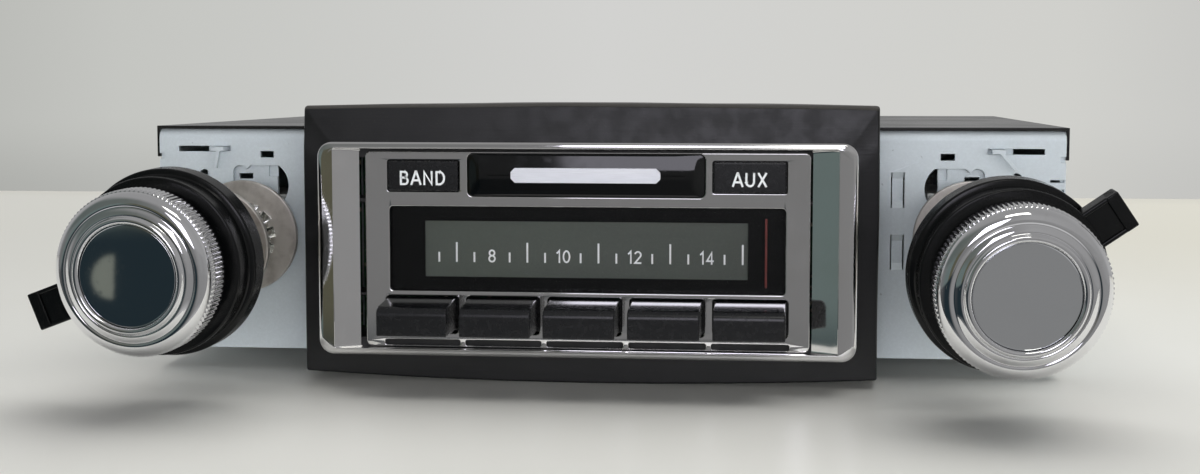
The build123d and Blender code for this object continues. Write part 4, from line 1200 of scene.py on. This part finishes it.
def nut_part():
    """The hexagon nut on the bushing, its corners taken off."""
    flat, bore = 6.35, BUSHING_R + 0.1
    s0, s1 = NUT_SPAN
    profile = [(bore + 0.3, s0), (flat + 0.1, s0), (flat * 1.16, s0 + 0.45), (flat * 1.16, s1 - 0.45),
               (flat + 0.1, s1), (bore + 0.3, s1), (bore, s1 - 0.3), (bore, s0 + 0.3)]

    def shape(index, angle, r, s):
        return (hexed(angle + 0.3, r, flat), s) if 1 <= index <= 4 else (r, s)
    return turned(profile, 144, shape)


def bushing_part():
    """The bushing: plain behind the chassis' face, threaded in front of it."""
    rows, helix = thread(BUSHING_R, 0.32, 0.0, BUSHING_END - 0.5)
    profile = [(BUSHING_BORE_R, -8.0), (BUSHING_R - 0.1, -8.0), (BUSHING_R - 0.1, -0.6)]
    first = len(profile)
    profile += rows + [(BUSHING_R - 0.6, BUSHING_END - 0.05), (3.3, BUSHING_END),
                       (BUSHING_BORE_R, BUSHING_END - 0.2)]

    def shape(index, angle, r, s):
        return (helix(angle, r, s), s) if first <= index < first + len(rows) else (r, s)
    return turned(profile, 72, shape)


for side in ("left", "right"):
    control, ring, knob = side + "_control", side + "_ring", side + "_knob"
    matrix = control_matrix(side)
    middle = Vector(centre(side + "_star_washer"))
    rear_seat = Matrix.Translation((middle.x, PLATE_FRONT - WASHER_T, middle.z)) @ UPRIGHT
    lever = merged([mesh_of(ring_part()), eased(lever_tab(*TABS[side]), 0.3)])
    lever.transform(Matrix.Translation(matrix.translation * MM) @ matrix.to_3x3().to_4x4())
    front_washer = tube(WASHER_R, BUSHING_R + 0.1, *WASHER_SPAN, 0.28)
    rear_washer = tube(WASHER_R, 5.35, 0.0, WASHER_T, 0.3)
    lock_washer = placed(star_part(), Matrix.Translation(middle) @ UPRIGHT)
    sleeve = tube(9.0, 5.1, *SLEEVE_SPAN, 0.5, 96)
    rows = (
        ("threaded_bushing", placed(bushing_part(), matrix), "nickel_steel", "bushing", control, 35),
        ("washer_front", placed(front_washer, matrix), "washer_steel", "flat_washers", control, 35),
        ("washer_rear", placed(rear_washer, rear_seat), "washer_steel", "flat_washers", control, 32),
        ("lock_washer", lock_washer, "nickel_steel", "star_washer", control, 32),
        ("fixing_nut", placed(nut_part(), matrix), "nickel_steel", "hex_nut", control, 35),
        ("sleeve", placed(sleeve, matrix), "washer_steel", "spacer", control, 35),
        ("lever", lever, "ring_black", "lever_ring", ring, 32),
        ("knob_turned", placed(knob_part(), matrix), "knob_chrome", "knob", knob, 45),
        ("knob_cap", placed(disc_part(), matrix), "disc_mirror", "knob_disc", knob, 35),
    )
    for name, shape, finish_name, node, body, sharp in rows:
        add_piece(f"{side}_{name}", shape, finish_name, f"{side}_{node}", body, sharp=sharp)


# ---- floor, light, camera ----

# The part rests on the gasket's front edge and the chassis' back edge, as (y, z) in metres.
REST_FRONT = (-0.077, -0.004)
REST_BACK = (0.065, 0.0)
SLOPE = (REST_BACK[1] - REST_FRONT[1]) / (REST_BACK[0] - REST_FRONT[0])
TABLE_BACK = 0.32
TABLE_FRONT = -0.138
FAR = 3.0
GAP = 0.00005


def floor_height(y):
    """The floor's height under a depth y, in metres, just clear of the part."""
    return REST_BACK[1] + SLOPE * (y - REST_BACK[0]) - GAP


top = Finish("table_top", (229, 229, 225), 0.45)
top.tint(top.ramp(top.noise(60.0, 3.0), 0.35, 0.7, 0.0, 0.25), (222, 222, 217))
floor_place = top.node("ShaderNodeSeparateXYZ")
top.link(top.place, floor_place.inputs[0])
# Painted shade: the table top turns darker, and a little yellower, towards the back.
top.tint(top.ramp(floor_place.outputs["Y"], -0.08, 0.2, 0.0, 0.85), (216, 214, 202))
# Painted shadow: the table top darker towards the left.
top.tint(top.ramp(floor_place.outputs["X"], -0.05, -0.22, 0.0, 0.6), (208, 209, 207))
# Painted shade along the table's back edge, where it meets the wall.
top.tint(top.ramp(floor_place.outputs["Y"], TABLE_BACK - 0.03, TABLE_BACK, 0.0, 0.5), (204, 202, 194))
top.bump(top.noise(3.0, 2.0), 0.02)


def floor_piece(name, y0, y1):
    mesh = bpy.data.meshes.new(name)
    corners = [(-FAR, y0), (FAR, y0), (FAR, y1), (-FAR, y1)]
    mesh.from_pydata([(x, y, floor_height(y)) for x, y in corners], [], [(0, 1, 2, 3)])
    mesh.materials.append(top.material)
    piece = show(name, mesh)
    return piece


floor_piece("table_near", TABLE_FRONT, TABLE_BACK)
apron = floor_piece("table_apron", -FAR, TABLE_FRONT)
apron.visible_glossy = False


LIT_POINT = Vector((0.0, -0.08, 0.02))


def area_light(name, azimuth, elevation, distance, size, radiance, colour):
    """A rectangular lamp seen from the radio at this azimuth (0 in front, 90 to the right) and height."""
    lamp = bpy.data.lights.new(name, "AREA")
    lamp.shape = "RECTANGLE"
    lamp.size, lamp.size_y = size
    lamp.energy = radiance * math.pi * size[0] * size[1]
    lamp.color = colour
    turn, lift = math.radians(azimuth), math.radians(elevation)
    away = Vector((math.sin(turn) * math.cos(lift), -math.cos(turn) * math.cos(lift), math.sin(lift)))
    piece = show(name, lamp)
    piece.location = LIT_POINT + away * distance
    piece.rotation_euler = (-away).to_track_quat("-Z", "Y").to_euler()
    return piece


# The ceiling lights matt surfaces. The window and the lamp are only for the highlights.
ceiling = area_light("ceiling", 158.0, 65.0, 1.3, (1.7, 1.15), 3.0, (1.0, 0.99, 0.96))
window = area_light("window", 1.0, 18.0, 0.9, (0.28, 0.38), 3.2, (0.9, 0.88, 1.0))
lamp = area_light("lamp", 16.0, 52.0, 1.0, (0.32, 0.22), 3.0, (1.0, 0.99, 0.93))
ceiling.visible_glossy = False
window.visible_diffuse = lamp.visible_diffuse = False

world = bpy.data.worlds.new("studio")
world.use_nodes = True
bpy.context.scene.world = world
world.node_tree.nodes.clear()
sky = Nodes(world.node_tree)
direction = sky.node("ShaderNodeSeparateXYZ")
sky.link(sky.node("ShaderNodeTexCoord").outputs["Generated"], direction.inputs[0])
across, ahead, height = (direction.outputs[axis] for axis in "XYZ")


def gradient(value, stops):
    """A colour ramp over a value from -1 to 1, from pairs of (value, colour or grey level)."""
    half = sky.node("ShaderNodeMapRange")
    sky.link(value, half.inputs["Value"])
    half.inputs["From Min"].default_value = -1.0
    made = sky.node("ShaderNodeValToRGB")
    sky.link(half.outputs["Result"], made.inputs["Fac"])
    elements = made.color_ramp.elements
    elements[0].position, elements[1].position = ((stops[end][0] + 1) / 2 for end in (0, -1))
    for place, _ in stops[1:-1]:
        elements.new((place + 1) / 2)
    for element, (_, colour) in zip(elements, stops):
        element.color = colour if isinstance(colour, tuple) else grey(colour)
    return made.outputs["Color"]


def offset(value, middle, reach):
    """The square of how far a value is from the middle, as a share of the reach."""
    return sky.math("POWER", sky.math("DIVIDE", sky.math("SUBTRACT", value, middle), reach), 2.0)


# The room in front of the radio, which its chrome shows: low, level with the eye, high, overhead.
TEAL, GREEN, OLIVE = (0.016, 0.026, 0.032, 1), (0.124, 0.16, 0.154, 1), (0.092, 0.089, 0.06, 1)
low = gradient(across, [(-1.0, 0.1), (-0.62, TEAL), (-0.25, TEAL), (0.0, 0.16), (0.15, 0.235), (1.0, 0.26)])
level = gradient(across, [(-1.0, 0.16), (-0.72, GREEN), (-0.54, GREEN), (-0.48, OLIVE), (-0.31, OLIVE),
                          (-0.27, 0.18), (0.05, 0.19), (0.2, 0.23), (0.42, 0.266), (0.7, 0.25), (1.0, 0.3)])
high = gradient(across, [(-1.0, (0.1, 0.12, 0.115, 1)), (-0.5, (0.12, 0.135, 0.125, 1)), (-0.1, 0.2),
                         (0.3, 0.34), (1.0, 0.3)])

# A pale round patch with a straight side, low on the left, which the left knob's cap shows.
patch = sky.math("SQRT", sky.math("ADD", offset(across, -0.525, 0.019), offset(height, -0.2, 0.0215)))
patch = sky.math("MULTIPLY", sky.ramp(patch, 1.05, 0.85), sky.ramp(across, -0.523, -0.5265))
low = sky.mixed(patch, low, (0.175, 0.187, 0.16, 1))
room = sky.mixed(sky.ramp(height, -0.17, -0.12), low, level)
room = sky.mixed(sky.ramp(height, -0.75, -0.5), grey(0.55), room)
room = sky.mixed(sky.ramp(height, 0.1, 0.25), room, high)
room = sky.mixed(sky.ramp(height, 0.55, 0.85), room, grey(0.3))
back_room = gradient(height, [(-1.0, 0.2), (-0.1, 0.35), (0.05, 0.42), (0.4, 0.36), (1.0, 0.3)])
room = sky.mixed(sky.ramp(ahead, -0.25, 0.25), room, back_room)

# The pale wall that the camera sees behind the table, with painted light on it: lighter near the middle than
# at the sides, and painted shade along its base.
WALL = ((-1.0, (184, 185, 181)), (-0.43, (187, 188, 184)), (-0.37, (196, 197, 193)),
        (-0.11, (210, 210, 208)), (0.15, (208, 208, 204)), (0.22, (201, 201, 198)), (1.0, (196, 196, 194)))
wall = gradient(across, [(place, srgb(*colour)) for place, colour in WALL])
# Painted shade along the wall's base, deeper to the left.
wall_base_shade = gradient(across, [(-1.0, 0.82), (-0.3, 0.84), (0.1, 0.94), (1.0, 0.94)])
wall = sky.mixed(1.0, wall, sky.mixed(sky.ramp(height, -0.062, -0.015), wall_base_shade, grey(1.0)), "MULTIPLY")

# The light on matt surfaces: dim in front but for a low bright band, stronger to the right.
ambient = sky.mixed(sky.ramp(ahead, -0.3, 0.3), grey(0.08), grey(0.45))
front_band = sky.math("MULTIPLY", sky.ramp(ahead, -0.35, -0.75), sky.ramp(height, 0.26, 0.12))
front_light = sky.mixed(sky.ramp(across, -0.4, 0.4), grey(3.9), grey(7.0))
ambient = sky.mixed(front_band, ambient, front_light)
rays = sky.node("ShaderNodeLightPath")
shown = sky.mixed(rays.outputs["Is Glossy Ray"], ambient, room)
shown = sky.mixed(rays.outputs["Is Camera Ray"], shown, wall)
background = sky.node("ShaderNodeBackground")
sky.link(shown, background.inputs["Color"])
sky.link(background.outputs[0], sky.node("ShaderNodeOutputWorld").inputs["Surface"])

camera = bpy.data.cameras.new("camera")
camera.sensor_width = 36.0
camera.lens = 52.58
view = show("camera", camera)
view.location = (0.03814, -0.4052, 0.05265)
view.rotation_euler = (math.radians(90 - 4.945), 0.0, math.radians(6.398))
bpy.context.scene.camera = view
bpy.context.scene.view_settings.view_transform = "Standard"
